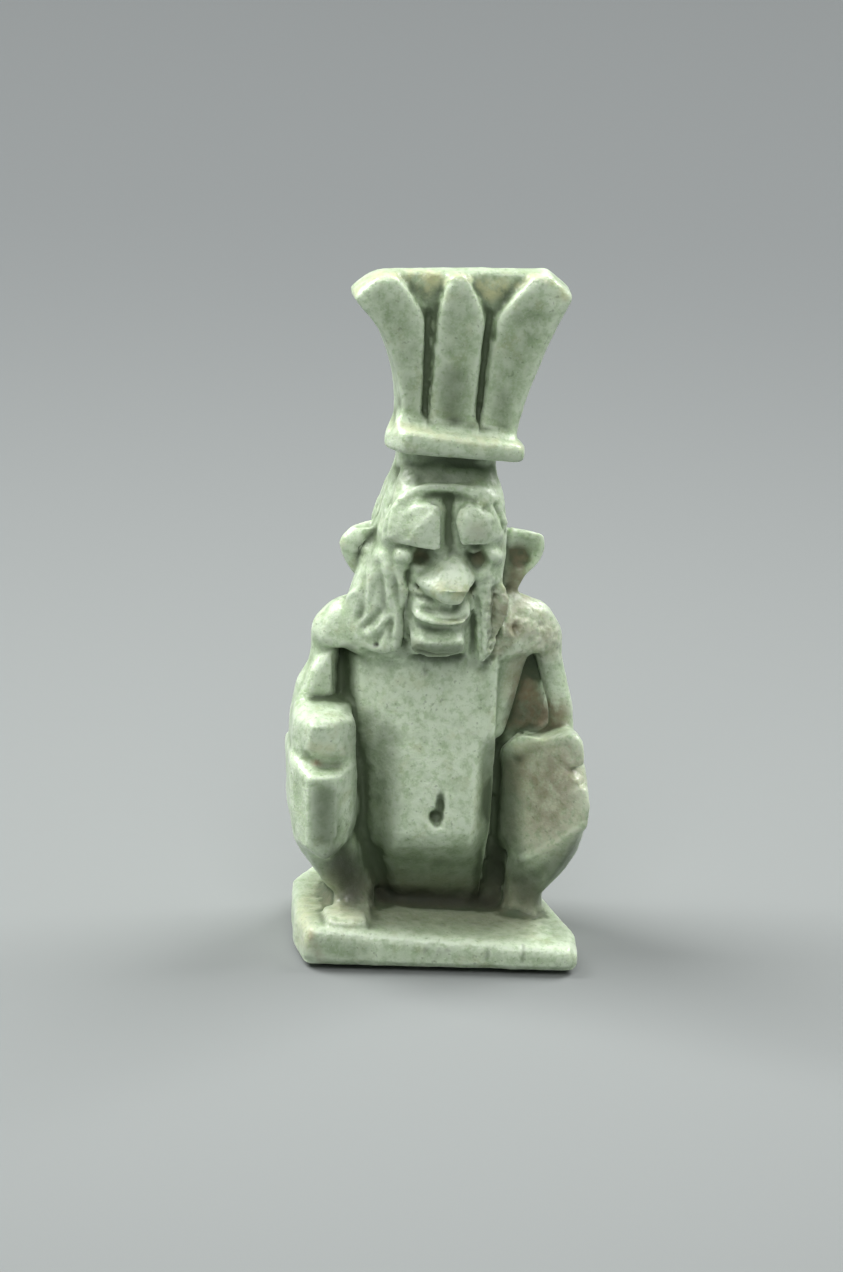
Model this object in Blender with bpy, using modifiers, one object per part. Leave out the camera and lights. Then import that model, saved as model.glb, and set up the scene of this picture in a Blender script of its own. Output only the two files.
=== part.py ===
# Bes amulet: a small glazed figure on a base plate, carved and fired as one piece.
# Metres, +Z up. The figure faces -Y and the origin is at the middle of the underside.

import math

import bmesh
import bpy
import numpy as np
from mathutils import Matrix, Vector

MM = 0.001

# The figure, from the top of the base plate to the underside of the crown's moulding.
# Its places below are millimetres on a figure 16.4 mm high and scale with it.
FIGURE_HEIGHT = 16.4 * MM
UNIT = FIGURE_HEIGHT / 16.4

# Base plate
BASE_WIDTH = 9.65 * MM
BASE_DEPTH = 8.2 * MM
BASE_THICKNESS = 1.28 * MM
BASE_TAPER = 0.55 * MM  # how much thinner the front edge is at its +X end
BASE_SKEW = 0.9 * MM  # how much further forward the front edge stands at its +X end
BASE_EDGE = 0.28 * MM  # rounding of its edges

# Crown: three plumes in front of a web, on a moulding
CROWN_HEIGHT = 6.3 * MM
CROWN_WIDTH = 7.7 * MM  # across the plume tips
CROWN_FOOT_WIDTH = 3.75 * MM  # across the plumes where they leave the moulding
CROWN_ASIDE = 0.1 * MM  # how far the crown sits towards +X
CROWN_FOOT_DEPTH = 2.3 * MM
CROWN_TOP_DEPTH = 1.25 * MM
PLUME_RELIEF = 0.5 * MM  # how far the plumes stand out from the web
PLUME_GROOVE = 0.36 * MM  # gap between two plumes
PLUME_EDGE = 0.16 * MM  # rounding of a plume
MOULDING_OVERHANG = 0.54 * MM  # past the plumes at either side
MOULDING_LIP = 0.75 * MM  # past the plumes at the front
MOULDING_HEIGHT = 0.95 * MM

# Suspension loop behind the head
LOOP_BORE = 1.0 * MM
LOOP_WALL = 0.6 * MM

# Surface
GRAIN_STEPS = 290  # voxels in the whole height
TRIANGLES = 9400
COLOUR = (0.42, 0.52, 0.38, 1.0)
ROUGHNESS = 0.32

FOOT_Z = BASE_THICKNESS + FIGURE_HEIGHT  # underside of the moulding
TOTAL_HEIGHT = FOOT_Z + CROWN_HEIGHT


def clear_scene():
    for obj in list(bpy.data.objects):
        bpy.data.objects.remove(obj)


def ball_points():
    """Points spread over a ball of radius 1."""
    ball = bmesh.new()
    bmesh.ops.create_icosphere(ball, subdivisions=2, radius=1.0)
    points = [v.co.copy() for v in ball.verts]
    ball.free()
    return points


BALL = ball_points()


class Clay:
    """The block-out: overlapping closed shapes, in metres, that are fused afterwards."""

    def __init__(self):
        self.mesh = bmesh.new()

    def take(self, piece):
        """Adds one closed shape and frees it."""
        bmesh.ops.recalc_face_normals(piece, faces=piece.faces)
        held = bpy.data.meshes.new("held")
        piece.to_mesh(held)
        piece.free()
        self.mesh.from_mesh(held)
        bpy.data.meshes.remove(held)

    def block(self, balls):
        """A block with round corners: the hull of balls, each (x, y, z, radius)."""
        piece = bmesh.new()
        for x, y, z, radius in balls:
            for point in BALL:
                piece.verts.new(Vector((x, y, z)) + point * radius)
        hull = bmesh.ops.convex_hull(piece, input=piece.verts)
        inside = {v for v in hull["geom_interior"] if isinstance(v, bmesh.types.BMVert)}
        bmesh.ops.delete(piece, geom=list(inside), context="VERTS")
        self.take(piece)

    def chain(self, stations):
        """Blocks from each group of balls to the next, so the outline may bend inwards."""
        for start, end in zip(stations, stations[1:]):
            self.block((*start, *end))

    def rope(self, balls):
        """A lock or a ridge: balls joined one to the next."""
        self.chain([(ball,) for ball in balls])

    def lump(self, centre, radii, turn):
        """An ellipsoid, turned by three angles in degrees about X, Y and Z."""
        piece = bmesh.new()
        bmesh.ops.create_uvsphere(piece, u_segments=32, v_segments=20, radius=1.0)
        spin = Matrix.Identity(4)
        for angle, axis in zip(turn, "XYZ"):
            spin = Matrix.Rotation(math.radians(angle), 4, axis) @ spin
        place = Matrix.Translation(centre) @ spin @ Matrix.Diagonal((*radii, 1.0))
        bmesh.ops.transform(piece, matrix=place, verts=piece.verts)
        self.take(piece)

    def stack(self, sections, radii, swell, steps=6):
        """A skin over level sections (z, left, right, front, back) with corners of four radii,
        counted from the front left one by way of the front right. The front swells in the middle."""
        piece = bmesh.new()
        turns = ((-1, -1, 180), (1, -1, 270), (1, 1, 0), (-1, 1, 90))
        rings = []
        for z, left, right, front, back in sections:
            most = 0.49 * min(right - left, back - front)
            ring = []
            for (side, end, start), radius in zip(turns, radii):
                r = min(radius, most)
                x = (right - r) if side > 0 else (left + r)
                y = (back - r) if end > 0 else (front + r)
                for i in range(steps + 1):
                    angle = math.radians(start + 90 * i / steps)
                    ring.append((x + r * math.cos(angle), y + r * math.sin(angle)))
            # The flat front gets points of its own for the swell
            front_left, front_right = ring[steps], ring[steps + 1]
            flat = []
            for i in range(1, steps):
                share = i / steps
                x = front_left[0] + (front_right[0] - front_left[0]) * share
                flat.append((x, front - swell * 4 * share * (1 - share)))
            ring[steps + 1:steps + 1] = flat
            rings.append([piece.verts.new((x, y, z)) for x, y in ring])
        count = len(rings[0])
        for low, high in zip(rings, rings[1:]):
            for i in range(count):
                j = (i + 1) % count
                piece.faces.new((low[i], low[j], high[j], high[i]))
        piece.faces.new(rings[0][::-1])
        piece.faces.new(rings[-1])
        bmesh.ops.triangulate(piece, faces=piece.faces)
        self.take(piece)

    def ring(self, centre, bore, wall):
        """A loop whose hole runs along X."""
        bpy.ops.mesh.primitive_torus_add(
            location=centre,
            rotation=(0.0, math.radians(90), 0.0),
            major_radius=(bore + wall) / 2,
            minor_radius=wall / 2,
            major_segments=40,
            minor_segments=16,
        )
        made = bpy.context.object
        piece = bmesh.new()
        piece.from_mesh(made.data)
        bmesh.ops.transform(piece, matrix=made.matrix_world, verts=piece.verts)
        bpy.data.objects.remove(made)
        self.take(piece)


class Figure:
    """Adds to the clay in the figure's own millimetres, heights counted from the plate's top."""

    def __init__(self, clay):
        self.clay = clay

    @staticmethod
    def place(x, y, z):
        return x * UNIT, y * UNIT, z * UNIT + BASE_THICKNESS

    def balls(self, places):
        return [(*self.place(x, y, z), r * UNIT) for x, y, z, r in places]

    def block(self, *places):
        self.clay.block(self.balls(places))

    def rope(self, *places):
        self.clay.rope(self.balls(places))

    def chain(self, *stations):
        self.clay.chain([self.balls(s) for s in stations])

    def lump(self, centre, radii, turn=(0.0, 0.0, 0.0)):
        self.clay.lump(self.place(*centre), [r * UNIT for r in radii], turn)

    def stack(self, radii, *sections, swell=0.0):
        scaled = [
            (z * UNIT + BASE_THICKNESS, left * UNIT, right * UNIT, front * UNIT, back * UNIT)
            for z, left, right, front, back in sections
        ]
        self.clay.stack(scaled, [r * UNIT for r in radii], swell * UNIT)


def add_base(clay):
    """The plate: widest at a quarter of its length, cut back towards its rear corners."""
    shares = (
        (-0.96, -1.0), (0.97, -1.0), (1.0, -0.6), (0.84, 0.32),
        (0.68, 1.0), (-0.70, 1.0), (-0.93, 0.52), (-0.99, -0.3),
    )
    balls = []
    for across, along in shares:
        x = across * (BASE_WIDTH / 2 - BASE_EDGE)
        y = along * (BASE_DEPTH / 2 - BASE_EDGE)
        if along == -1.0:
            y += BASE_SKEW / 2 * (1 - across)
        top = BASE_THICKNESS - BASE_TAPER / 2 * across * (0.7 - 0.3 * along)
        balls.append((x, y, BASE_EDGE * 0.7, BASE_EDGE))
        balls.append((x, y, top - BASE_EDGE, BASE_EDGE))
    clay.block(balls)


def add_trunk(figure):
    # Chest and belly: round down the -X side, cut square down the +X side
    figure.stack(
        (1.3, 0.16, 0.8, 0.8),
        (-0.3, -2.3, 1.72, 0.1, 2.7), (0.5, -2.35, 1.75, -0.2, 2.8),
        (1.3, -2.5, 1.78, -0.65, 2.8), (2.1, -2.6, 1.8, -1.1, 2.8),
        (2.75, -2.7, 1.82, -1.4, 2.7), (3.25, -2.78, 1.84, -1.52, 2.6),
        (4.4, -2.85, 1.88, -1.5, 2.4), (6.0, -3.0, 1.92, -1.35, 2.2),
        (8.0, -3.1, 1.93, -1.15, 2.2), (9.6, -3.1, 1.95, -1.0, 2.3),
        (10.4, -2.8, 1.8, -0.85, 2.3),
        swell=0.14,
    )
    # Back and hips, which the arms and legs grow out of
    figure.stack(
        (0.9, 0.9, 0.9, 0.9),
        (-0.3, -2.6, 2.5, 0.5, 2.8), (1.2, -3.2, 3.1, 0.4, 3.3), (2.6, -3.9, 3.8, 0.3, 3.3),
        (4.2, -4.2, 4.1, 0.3, 3.0), (6.0, -4.3, 4.2, 0.4, 2.6), (8.0, -4.1, 4.0, 0.5, 2.5),
        (9.6, -3.7, 3.6, 0.6, 2.5), (10.8, -2.8, 2.6, 0.6, 2.3),
    )
    figure.block(
        (1.8, 0.5, -0.1, 0.2), (3.0, 0.5, -0.1, 0.2), (1.8, 0.5, 2.4, 0.2), (3.0, 0.5, 2.4, 0.2),
        (1.8, 1.6, -0.1, 0.2), (3.1, 1.6, -0.1, 0.2), (3.1, 1.6, 2.4, 0.2),
    )
    for side in (-1, 1):
        figure.lump((side * 1.25, 2.5, 2.2), (1.5, 1.2, 1.7))
        # Thigh, from the hip up to the knee
        figure.lump((side * 4.15, 0.4, 4.0), (0.85, 1.9, 1.6), (-22, 0, 0))


def add_near_leg(figure):
    """Leg at -X: a faceted knee, the shin drawn in to the foot and a raised toe block."""
    figure.block(
        (-4.58, -2.78, 5.5, 0.12), (-3.7, -2.78, 5.52, 0.12),
        (-4.55, -2.74, 3.1, 0.12), (-3.95, -2.74, 2.65, 0.12),
        (-3.04, -2.05, 5.85, 0.12), (-3.02, -2.05, 4.5, 0.12), (-3.25, -1.95, 3.0, 0.15),
        (-5.05, -1.6, 5.85, 0.14), (-5.02, -1.6, 4.3, 0.14), (-4.75, -1.5, 2.95, 0.2),
        (-3.05, -0.6, 5.9, 0.15), (-2.85, -0.7, 3.2, 0.2),
        (-4.75, 1.2, 5.6, 0.3), (-4.4, 1.2, 3.1, 0.4),
    )
    figure.block(
        (-4.5, -2.2, 3.0, 0.2), (-3.8, -2.2, 2.7, 0.2), (-4.6, -1.2, 2.75, 0.25),
        (-4.35, 0.9, 2.7, 0.4), (-3.1, -1.3, 2.7, 0.2), (-2.6, -0.3, 2.8, 0.3),
        (-3.6, -1.5, 1.5, 0.3), (-3.05, -1.15, 0.8, 0.25), (-2.3, -0.75, 0.8, 0.25),
        (-3.1, 1.2, 0.3, 0.3), (-2.0, 1.2, 0.3, 0.3), (-2.1, -0.2, 0.9, 0.3),
    )
    figure.block(
        (-3.05, -1.2, 0.9, 0.2), (-2.35, -1.0, 0.9, 0.2),
        (-3.35, -1.7, 0.1, 0.2), (-2.5, -1.7, 0.1, 0.2),
        (-3.2, 0.9, 0.2, 0.3), (-2.1, 0.9, 0.2, 0.3),
    )
    figure.block(
        (-3.72, -2.3, 0.36, 0.13), (-2.45, -2.35, 0.28, 0.13),
        (-3.6, -1.6, 0.42, 0.13), (-2.4, -1.6, 0.34, 0.13),
        (-3.72, -2.3, -0.3, 0.13), (-2.45, -2.35, -0.3, 0.13),
        (-3.5, -1.2, -0.3, 0.13), (-2.4, -1.2, -0.3, 0.13),
    )


def add_far_leg(figure):
    """Leg at +X: one broad slope from the knee's edge back to the belly, over a round shin."""
    figure.block(
        (4.48, -2.2, 5.3, 0.1), (4.86, -2.5, 4.95, 0.1), (4.98, -2.6, 4.4, 0.1), (4.97, -2.5, 4.0, 0.1),
        (2.5, -0.15, 5.2, 0.15), (2.65, -0.3, 2.05, 0.15), (2.5, -0.1, 2.0, 0.15),
        (4.9, -0.4, 5.4, 0.2), (5.0, -0.7, 3.3, 0.22), (4.75, 1.0, 5.3, 0.3), (4.4, 1.2, 3.0, 0.4),
        (2.8, 1.4, 4.6, 0.4), (2.7, 1.5, 2.2, 0.4),
    )
    figure.chain(
        ((4.93, -2.35, 3.9, 0.14), (4.98, -0.9, 3.4, 0.24), (4.4, 1.0, 3.4, 0.4), (2.8, -0.4, 2.05, 0.2)),
        ((4.5, -1.7, 2.6, 0.25), (4.72, -0.9, 2.3, 0.3), (4.1, 1.1, 2.0, 0.4), (2.8, -0.5, 1.5, 0.25)),
        ((3.9, -1.2, 1.5, 0.3), (4.2, -0.7, 1.4, 0.3), (3.7, 1.1, 1.0, 0.4), (2.8, -0.4, 0.9, 0.25)),
        ((3.4, -0.85, 0.6, 0.28), (3.6, -0.3, 0.6, 0.3), (3.4, 1.1, 0.3, 0.4), (2.75, -0.5, 0.4, 0.25)),
        ((3.4, -0.95, -0.15, 0.3), (3.65, -0.3, -0.15, 0.3), (3.4, 1.1, -0.2, 0.4), (2.75, -0.65, -0.2, 0.3)),
    )


def add_near_arm(figure):
    """Arm at -X: a round shoulder, the arm flaring down to a fist on the knee."""
    figure.rope(
        (-2.5, 0.35, 10.45, 0.8), (-3.35, 0.35, 10.15, 0.8), (-3.72, 0.35, 9.85, 0.72),
        (-3.85, 0.4, 9.3, 0.5), (-3.95, 0.4, 8.6, 0.45), (-4.3, 0.3, 7.7, 0.6), (-4.45, 0.4, 6.6, 0.6),
    )
    figure.block(
        (-2.6, -0.55, 10.3, 0.35), (-2.8, -0.6, 9.6, 0.35), (-3.85, -0.1, 9.75, 0.38),
        (-3.5, -0.1, 10.45, 0.38), (-2.5, 0.2, 10.8, 0.35),
    )
    figure.block(
        (-3.72, -0.1, 9.0, 0.2), (-3.72, -0.3, 7.9, 0.2), (-4.15, -0.2, 8.6, 0.25),
        (-4.65, -0.5, 7.3, 0.3), (-3.75, 0.8, 9.2, 0.3), (-4.4, 0.9, 7.2, 0.4), (-3.7, 0.6, 7.4, 0.25),
    )
    figure.block(
        (-4.52, -2.38, 7.28, 0.22), (-3.75, -2.38, 7.32, 0.22),
        (-4.5, -2.42, 6.5, 0.18), (-3.7, -2.42, 6.45, 0.18),
        (-3.1, -1.9, 7.15, 0.15), (-3.08, -1.9, 6.0, 0.15),
        (-4.88, -1.4, 7.15, 0.2), (-4.92, -1.4, 6.2, 0.15),
        (-4.7, -0.3, 7.35, 0.3), (-4.75, -0.3, 6.2, 0.3),
        (-3.2, -0.6, 7.35, 0.2), (-3.15, -0.6, 6.0, 0.2), (-4.5, 0.9, 6.6, 0.4), (-3.4, 0.9, 6.8, 0.3),
    )
    # Behind the notch that parts the fist from the knee
    figure.block(
        (-4.75, -1.75, 5.6, 0.15), (-4.75, -1.75, 6.3, 0.15), (-3.1, -1.95, 5.7, 0.12),
        (-3.1, -1.95, 6.3, 0.12), (-4.7, 0.6, 5.6, 0.3), (-4.7, 0.6, 6.4, 0.3), (-3.2, 0.6, 6.0, 0.2),
        (-4.3, -2.2, 5.85, 0.12), (-3.75, -2.2, 5.85, 0.12), (-4.3, -2.2, 6.3, 0.1), (-3.75, -2.2, 6.3, 0.1),
    )


def add_far_arm(figure):
    """Arm at +X: a rough shoulder and a thin arm, the hand run into the leg's slope."""
    figure.rope(
        (2.3, 0.35, 10.45, 0.75), (3.15, 0.35, 10.15, 0.78), (3.62, 0.35, 9.6, 0.68),
        (3.82, 0.35, 9.0, 0.5), (4.05, 0.25, 8.0, 0.45), (4.3, 0.1, 7.1, 0.45), (4.35, 0.0, 6.2, 0.45),
    )
    figure.block(
        (2.25, -0.55, 10.1, 0.32), (2.1, -0.65, 9.3, 0.25), (3.55, -0.1, 9.45, 0.38),
        (3.2, -0.1, 10.2, 0.38), (2.2, 0.2, 10.6, 0.35),
    )
    figure.block(
        (1.8, -0.7, 9.4, 0.15), (2.95, -0.25, 9.5, 0.2), (2.4, -0.25, 8.1, 0.15), (2.2, -0.2, 6.2, 0.12),
        (1.8, -0.6, 6.2, 0.12), (1.8, 0.8, 6.2, 0.2), (2.3, 0.8, 6.2, 0.2), (2.9, 0.8, 9.4, 0.2),
    )
    figure.block(
        (4.5, -2.2, 6.75, 0.12), (4.7, -2.3, 6.5, 0.1), (4.76, -2.38, 5.84, 0.1), (4.42, -2.15, 5.86, 0.1),
        (3.45, -1.25, 6.2, 0.12), (2.9, -0.65, 5.7, 0.12), (2.55, -0.2, 5.2, 0.15),
        (2.6, -0.2, 4.9, 0.15), (4.65, -0.8, 6.3, 0.2), (4.75, -0.4, 5.7, 0.2),
        (4.3, 1.0, 6.0, 0.3), (3.0, 0.8, 5.4, 0.3),
    )
    # Behind the notch that parts the hand from the knee
    figure.block(
        (4.25, -1.85, 5.2, 0.1), (4.25, -1.85, 5.95, 0.1), (4.4, -1.2, 5.2, 0.12), (4.4, -1.2, 5.95, 0.12),
        (2.6, -0.2, 5.1, 0.15), (4.3, 0.8, 5.2, 0.3), (4.3, 0.8, 6.0, 0.3), (3.0, 0.8, 5.3, 0.3),
    )


def add_head(figure):
    figure.stack(
        (0.75, 0.7, 1.0, 1.0),
        (9.4, -1.9, 1.7, -1.1, 2.3), (11.0, -2.1, 1.85, -1.45, 2.4), (12.5, -2.3, 2.02, -1.5, 2.4),
        (13.6, -2.32, 2.08, -1.5, 2.2), (14.4, -2.12, 1.98, -1.48, 2.0), (15.05, -1.92, 1.82, -1.35, 1.8),
        (15.5, -1.78, 1.72, -1.0, 1.7), (15.9, -1.68, 1.66, -0.7, 1.5), (16.6, -1.75, 1.75, -0.75, 1.5),
    )
    # The mane falls down the back
    figure.stack(
        (0.9, 0.9, 0.9, 0.9),
        (7.6, -1.9, 1.8, 0.9, 2.5), (9.0, -2.3, 2.2, 0.8, 2.85), (11.0, -2.3, 2.2, 0.6, 2.9),
        (13.0, -2.1, 2.0, 0.4, 2.7), (14.6, -1.8, 1.7, 0.3, 2.2), (16.2, -1.5, 1.5, 0.3, 1.5),
    )
    # Ears: a round one at -X, a broken and pointed one at +X
    figure.rope(
        (-2.3, 0.3, 13.55, 0.25), (-2.85, 0.3, 13.35, 0.32), (-3.2, 0.3, 12.9, 0.36),
        (-3.05, 0.35, 12.35, 0.3), (-2.75, 0.35, 11.8, 0.24), (-2.3, 0.35, 11.4, 0.3),
    )
    figure.block(
        (-2.2, 0.2, 13.4, 0.2), (-2.9, 0.3, 13.0, 0.18), (-2.85, 0.3, 12.3, 0.18),
        (-2.2, 0.2, 11.5, 0.25), (-2.1, 1.1, 13.2, 0.3), (-2.1, 1.1, 11.8, 0.3),
    )
    figure.rope(
        (2.1, 0.35, 13.25, 0.2), (2.7, 0.35, 13.22, 0.16), (3.25, 0.35, 13.08, 0.17),
        (3.25, 0.35, 12.65, 0.17), (2.9, 0.35, 11.9, 0.15), (2.62, 0.35, 11.35, 0.15),
        (2.5, 0.4, 11.0, 0.2),
    )
    figure.block(
        (2.1, 0.45, 13.2, 0.18), (3.1, 0.5, 13.0, 0.13), (2.65, 0.45, 11.4, 0.13),
        (2.0, 0.45, 10.8, 0.2), (2.0, 1.1, 12.9, 0.3), (2.0, 1.1, 11.8, 0.3),
    )


def add_face(figure):
    # Ridge of the mane that frames the forehead
    figure.rope(
        (-2.12, -1.2, 13.6, 0.2), (-2.1, -1.35, 14.3, 0.2), (-1.75, -1.4, 14.95, 0.2),
        (-1.2, -1.42, 15.32, 0.2), (-0.7, -1.45, 15.48, 0.18), (0.2, -1.45, 15.42, 0.18),
        (1.0, -1.4, 15.25, 0.18), (1.55, -1.38, 14.75, 0.2), (1.85, -1.3, 14.1, 0.2),
    )
    # Brows: two heavy swellings with a furrow between
    figure.block(
        (-0.72, -1.72, 14.98, 0.18), (-0.45, -1.82, 14.5, 0.16), (-0.42, -1.92, 13.75, 0.16),
        (-1.2, -1.9, 13.68, 0.18), (-2.05, -1.45, 13.85, 0.2), (-2.02, -1.42, 14.15, 0.18),
        (-1.5, -1.52, 14.7, 0.18), (-0.8, -2.05, 14.35, 0.16),
    )
    figure.block(
        (0.48, -1.72, 14.92, 0.18), (0.28, -1.82, 14.4, 0.16), (0.5, -1.92, 13.7, 0.16),
        (1.1, -1.85, 13.66, 0.18), (1.66, -1.45, 13.78, 0.2), (1.66, -1.4, 14.1, 0.18),
        (1.15, -1.52, 14.68, 0.18), (0.72, -2.02, 14.3, 0.16),
    )
    # Eyeballs
    figure.lump((-1.52, -1.5, 13.12), (0.36, 0.34, 0.34))
    figure.lump((1.42, -1.45, 13.1), (0.28, 0.32, 0.38))
    # Nose: a broad wedge with a blunt flat tip
    figure.block(
        (-0.2, -1.7, 13.15, 0.2), (0.12, -1.7, 13.15, 0.2),
        (-0.98, -1.75, 12.25, 0.18), (0.8, -1.75, 12.3, 0.18),
        (-0.55, -2.42, 12.35, 0.14), (0.38, -2.42, 12.38, 0.14),
        (-0.35, -2.3, 11.93, 0.14), (0.2, -2.3, 11.9, 0.14), (0.0, -1.3, 12.0, 0.3),
    )
    # Cheeks
    figure.lump((-1.55, -1.3, 12.3), (0.5, 0.4, 0.75))
    figure.lump((1.3, -1.25, 12.3), (0.45, 0.4, 0.75))
    # Muzzle, the full upper lip, and the chin under it
    figure.block(
        (-1.05, -1.6, 11.7, 0.22), (0.5, -1.6, 11.75, 0.22), (-0.3, -1.85, 11.8, 0.22),
        (-1.0, -1.5, 10.3, 0.22), (0.4, -1.5, 10.3, 0.22),
    )
    figure.rope(
        (-1.2, -1.85, 11.28, 0.13), (-0.8, -2.1, 11.1, 0.22), (-0.25, -2.18, 10.98, 0.26),
        (0.25, -2.1, 10.96, 0.25), (0.6, -1.85, 11.2, 0.15),
    )
    figure.block(
        (-1.08, -1.7, 10.25, 0.2), (-1.08, -1.82, 9.8, 0.18), (0.5, -1.82, 9.78, 0.18),
        (0.52, -1.7, 10.22, 0.2), (-0.72, -2.0, 9.92, 0.22), (0.2, -2.0, 9.88, 0.22),
        (-0.3, -1.8, 10.28, 0.2), (-0.3, -1.5, 9.7, 0.3),
    )


def add_mane(figure):
    # Hair beside the jaw, lying on the chest
    figure.block(
        (-2.2, -1.15, 12.9, 0.22), (-1.68, -1.38, 12.8, 0.18), (-1.62, -1.48, 9.8, 0.18),
        (-2.1, -1.25, 9.6, 0.18), (-2.9, -0.62, 9.8, 0.3), (-3.1, -0.35, 10.9, 0.3),
        (-2.6, -0.5, 12.2, 0.3), (-2.3, 0.2, 12.9, 0.3),
    )
    figure.block(
        (1.25, -1.3, 12.0, 0.18), (1.72, -1.15, 12.4, 0.2), (1.8, -1.15, 11.0, 0.2),
        (1.62, -1.25, 9.6, 0.16), (1.3, -1.4, 9.25, 0.14), (1.18, -1.45, 10.5, 0.16),
    )


def tip_cut(share):
    """How far a plume's outer edge has turned back in above its tip."""
    return max(0.0, share - 0.9) * 1.9


def crown_edges(share):
    """The outer edges of the crown at a share of its height, as shares of half its width."""
    foot = CROWN_FOOT_WIDTH / CROWN_WIDTH
    risen = min(share / 0.9, 1.0)
    left = -(foot - 0.03) - (0.97 - foot) * risen**3
    right = foot + 0.03 + (0.97 - foot) * risen**1.5
    return left + tip_cut(share), right - tip_cut(share)


def plume_edges(share):
    """The edges of the three plumes at a share of the crown's height, in the same shares."""
    left, right = crown_edges(share)
    gap = PLUME_GROOVE / CROWN_WIDTH
    opened = max(0.0, share - 0.79)  # the grooves spread to notches at the top
    near, far = -0.245, 0.205 + 0.1 * share
    return (
        (left, near - gap - 1.2 * opened),
        (near + gap + 0.45 * opened, far - gap - 0.9 * opened),
        (far + gap + 1.3 * opened, right),
    )


def add_crown(clay):
    """Three plumes and the web behind them, leaning back a little, and the moulding."""
    front = -1.9 * UNIT + MOULDING_LIP
    plumes = ([], [], [])
    web = []
    for share in (0.08, 0.3, 0.5, 0.65, 0.76, 0.84, 0.9, 0.95, 1.0):
        z = FOOT_Z + share * CROWN_HEIGHT - PLUME_EDGE * share
        depth = CROWN_FOOT_DEPTH + (CROWN_TOP_DEPTH - CROWN_FOOT_DEPTH) * share
        y = front + 0.2 * UNIT * share + PLUME_EDGE
        back = y + depth - 2 * PLUME_EDGE
        behind = min(y + PLUME_RELIEF, back)
        for balls, (left, right) in zip(plumes, plume_edges(share)):
            low = CROWN_ASIDE + left * CROWN_WIDTH / 2 + PLUME_EDGE
            high = CROWN_ASIDE + right * CROWN_WIDTH / 2 - PLUME_EDGE
            if high < low:
                low = high = (low + high) / 2
            ends = [(x, at, z, PLUME_EDGE) for x in (low, high) for at in (y, behind)]
            balls.append(ends)
        left, right = crown_edges(share)
        flare = 0.12 * UNIT * (1 - share)  # the back is a little wider than the front
        low = CROWN_ASIDE + left * CROWN_WIDTH / 2 + PLUME_EDGE
        high = CROWN_ASIDE + right * CROWN_WIDTH / 2 - PLUME_EDGE
        web.append(
            [(low, behind, z, PLUME_EDGE), (high, behind, z, PLUME_EDGE)]
            + [(low - flare, back, z, PLUME_EDGE), (high + flare, back, z, PLUME_EDGE)]
        )
    for stations in (*plumes, web):
        clay.chain(stations)

    # Moulding: lower at its +X end, its front corners cut back
    edge = 0.15 * UNIT
    half = CROWN_FOOT_WIDTH / 2 + MOULDING_OVERHANG
    depth = CROWN_FOOT_DEPTH + MOULDING_LIP + 0.5 * UNIT
    drop = 0.5 * UNIT
    seat = FOOT_Z + 0.25 * UNIT
    balls = []
    for side, corner in ((-1, 0.5), (1, 0.15)):
        lower = drop * (side + 1) / 2
        for x, y, bottom, top in (
            (half - corner * UNIT, edge, 0.05, 0.95),
            (half, 0.28 * depth, 0.0, 0.75),
            (half - 0.4 * UNIT, 0.7 * depth, 0.1, 0.75),
            (half - 0.8 * UNIT, depth - edge, 0.2, 0.8),
        ):
            x, y = CROWN_ASIDE + side * (x - edge), y - 1.9 * UNIT
            balls.append((x, y, seat - 0.6 * lower + bottom * MOULDING_HEIGHT + edge, edge))
            balls.append((x, y, seat - lower + top * MOULDING_HEIGHT - edge, edge))
    clay.block(balls)
    # The ledge above it slopes up to the plumes
    clay.block(
        [(CROWN_ASIDE + side * (half - inset * UNIT), y * UNIT, FOOT_Z + z * UNIT - side * drop / 2, edge)
         for side in (-1, 1)
         for inset, y, z in ((0.45, -1.5, 0.7), (0.5, -1.0, 1.1), (0.75, 0.6, 0.85), (0.75, 0.6, 0.4))]
    )


def add_loop(clay):
    """Stands on the mane with its bore clear of the hair."""
    x, hair, z = Figure.place(0.0, 2.48, 13.6)
    clay.ring((x, hair + LOOP_BORE / 2, z), LOOP_BORE, LOOP_WALL)


def fuse(clay):
    """One skin round all the clay, by a voxel remesh, softened a little."""
    mesh = bpy.data.meshes.new("bes_amulet")
    clay.mesh.to_mesh(mesh)
    clay.mesh.free()
    body = bpy.data.objects.new("bes_amulet", mesh)
    remesh = body.modifiers.new("Fuse", "REMESH")
    remesh.mode = "VOXEL"
    remesh.voxel_size = TOTAL_HEIGHT / GRAIN_STEPS
    soften = body.modifiers.new("Soften", "SMOOTH")
    soften.factor = 0.5
    soften.iterations = 4
    return body


def realise(obj):
    """Applies the modifiers and leaves a plain mesh."""
    bpy.context.view_layer.update()
    graph = bpy.context.evaluated_depsgraph_get()
    made = bpy.data.meshes.new_from_object(obj.evaluated_get(graph))
    obj.modifiers.clear()
    obj.data = made


def keep_outer_skin(obj):
    """Drops closed pockets left inside, keeping the largest shell."""
    skin = bmesh.new()
    skin.from_mesh(obj.data)
    left = set(skin.verts)
    shells = []
    while left:
        shell = set()
        edge = [left.pop()]
        while edge:
            vert = edge.pop()
            shell.add(vert)
            for link in vert.link_edges:
                other = link.other_vert(vert)
                if other in left:
                    left.discard(other)
                    edge.append(other)
        shells.append(shell)
    shells.sort(key=len)
    for shell in shells[:-1]:
        bmesh.ops.delete(skin, geom=list(shell), context="VERTS")
    skin.to_mesh(obj.data)
    skin.free()


def read_points(mesh):
    points = np.empty(len(mesh.vertices) * 3)
    mesh.vertices.foreach_get("co", points)
    return points.reshape(-1, 3)


def write_points(mesh, points):
    mesh.vertices.foreach_set("co", points.ravel())
    mesh.update()


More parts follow.
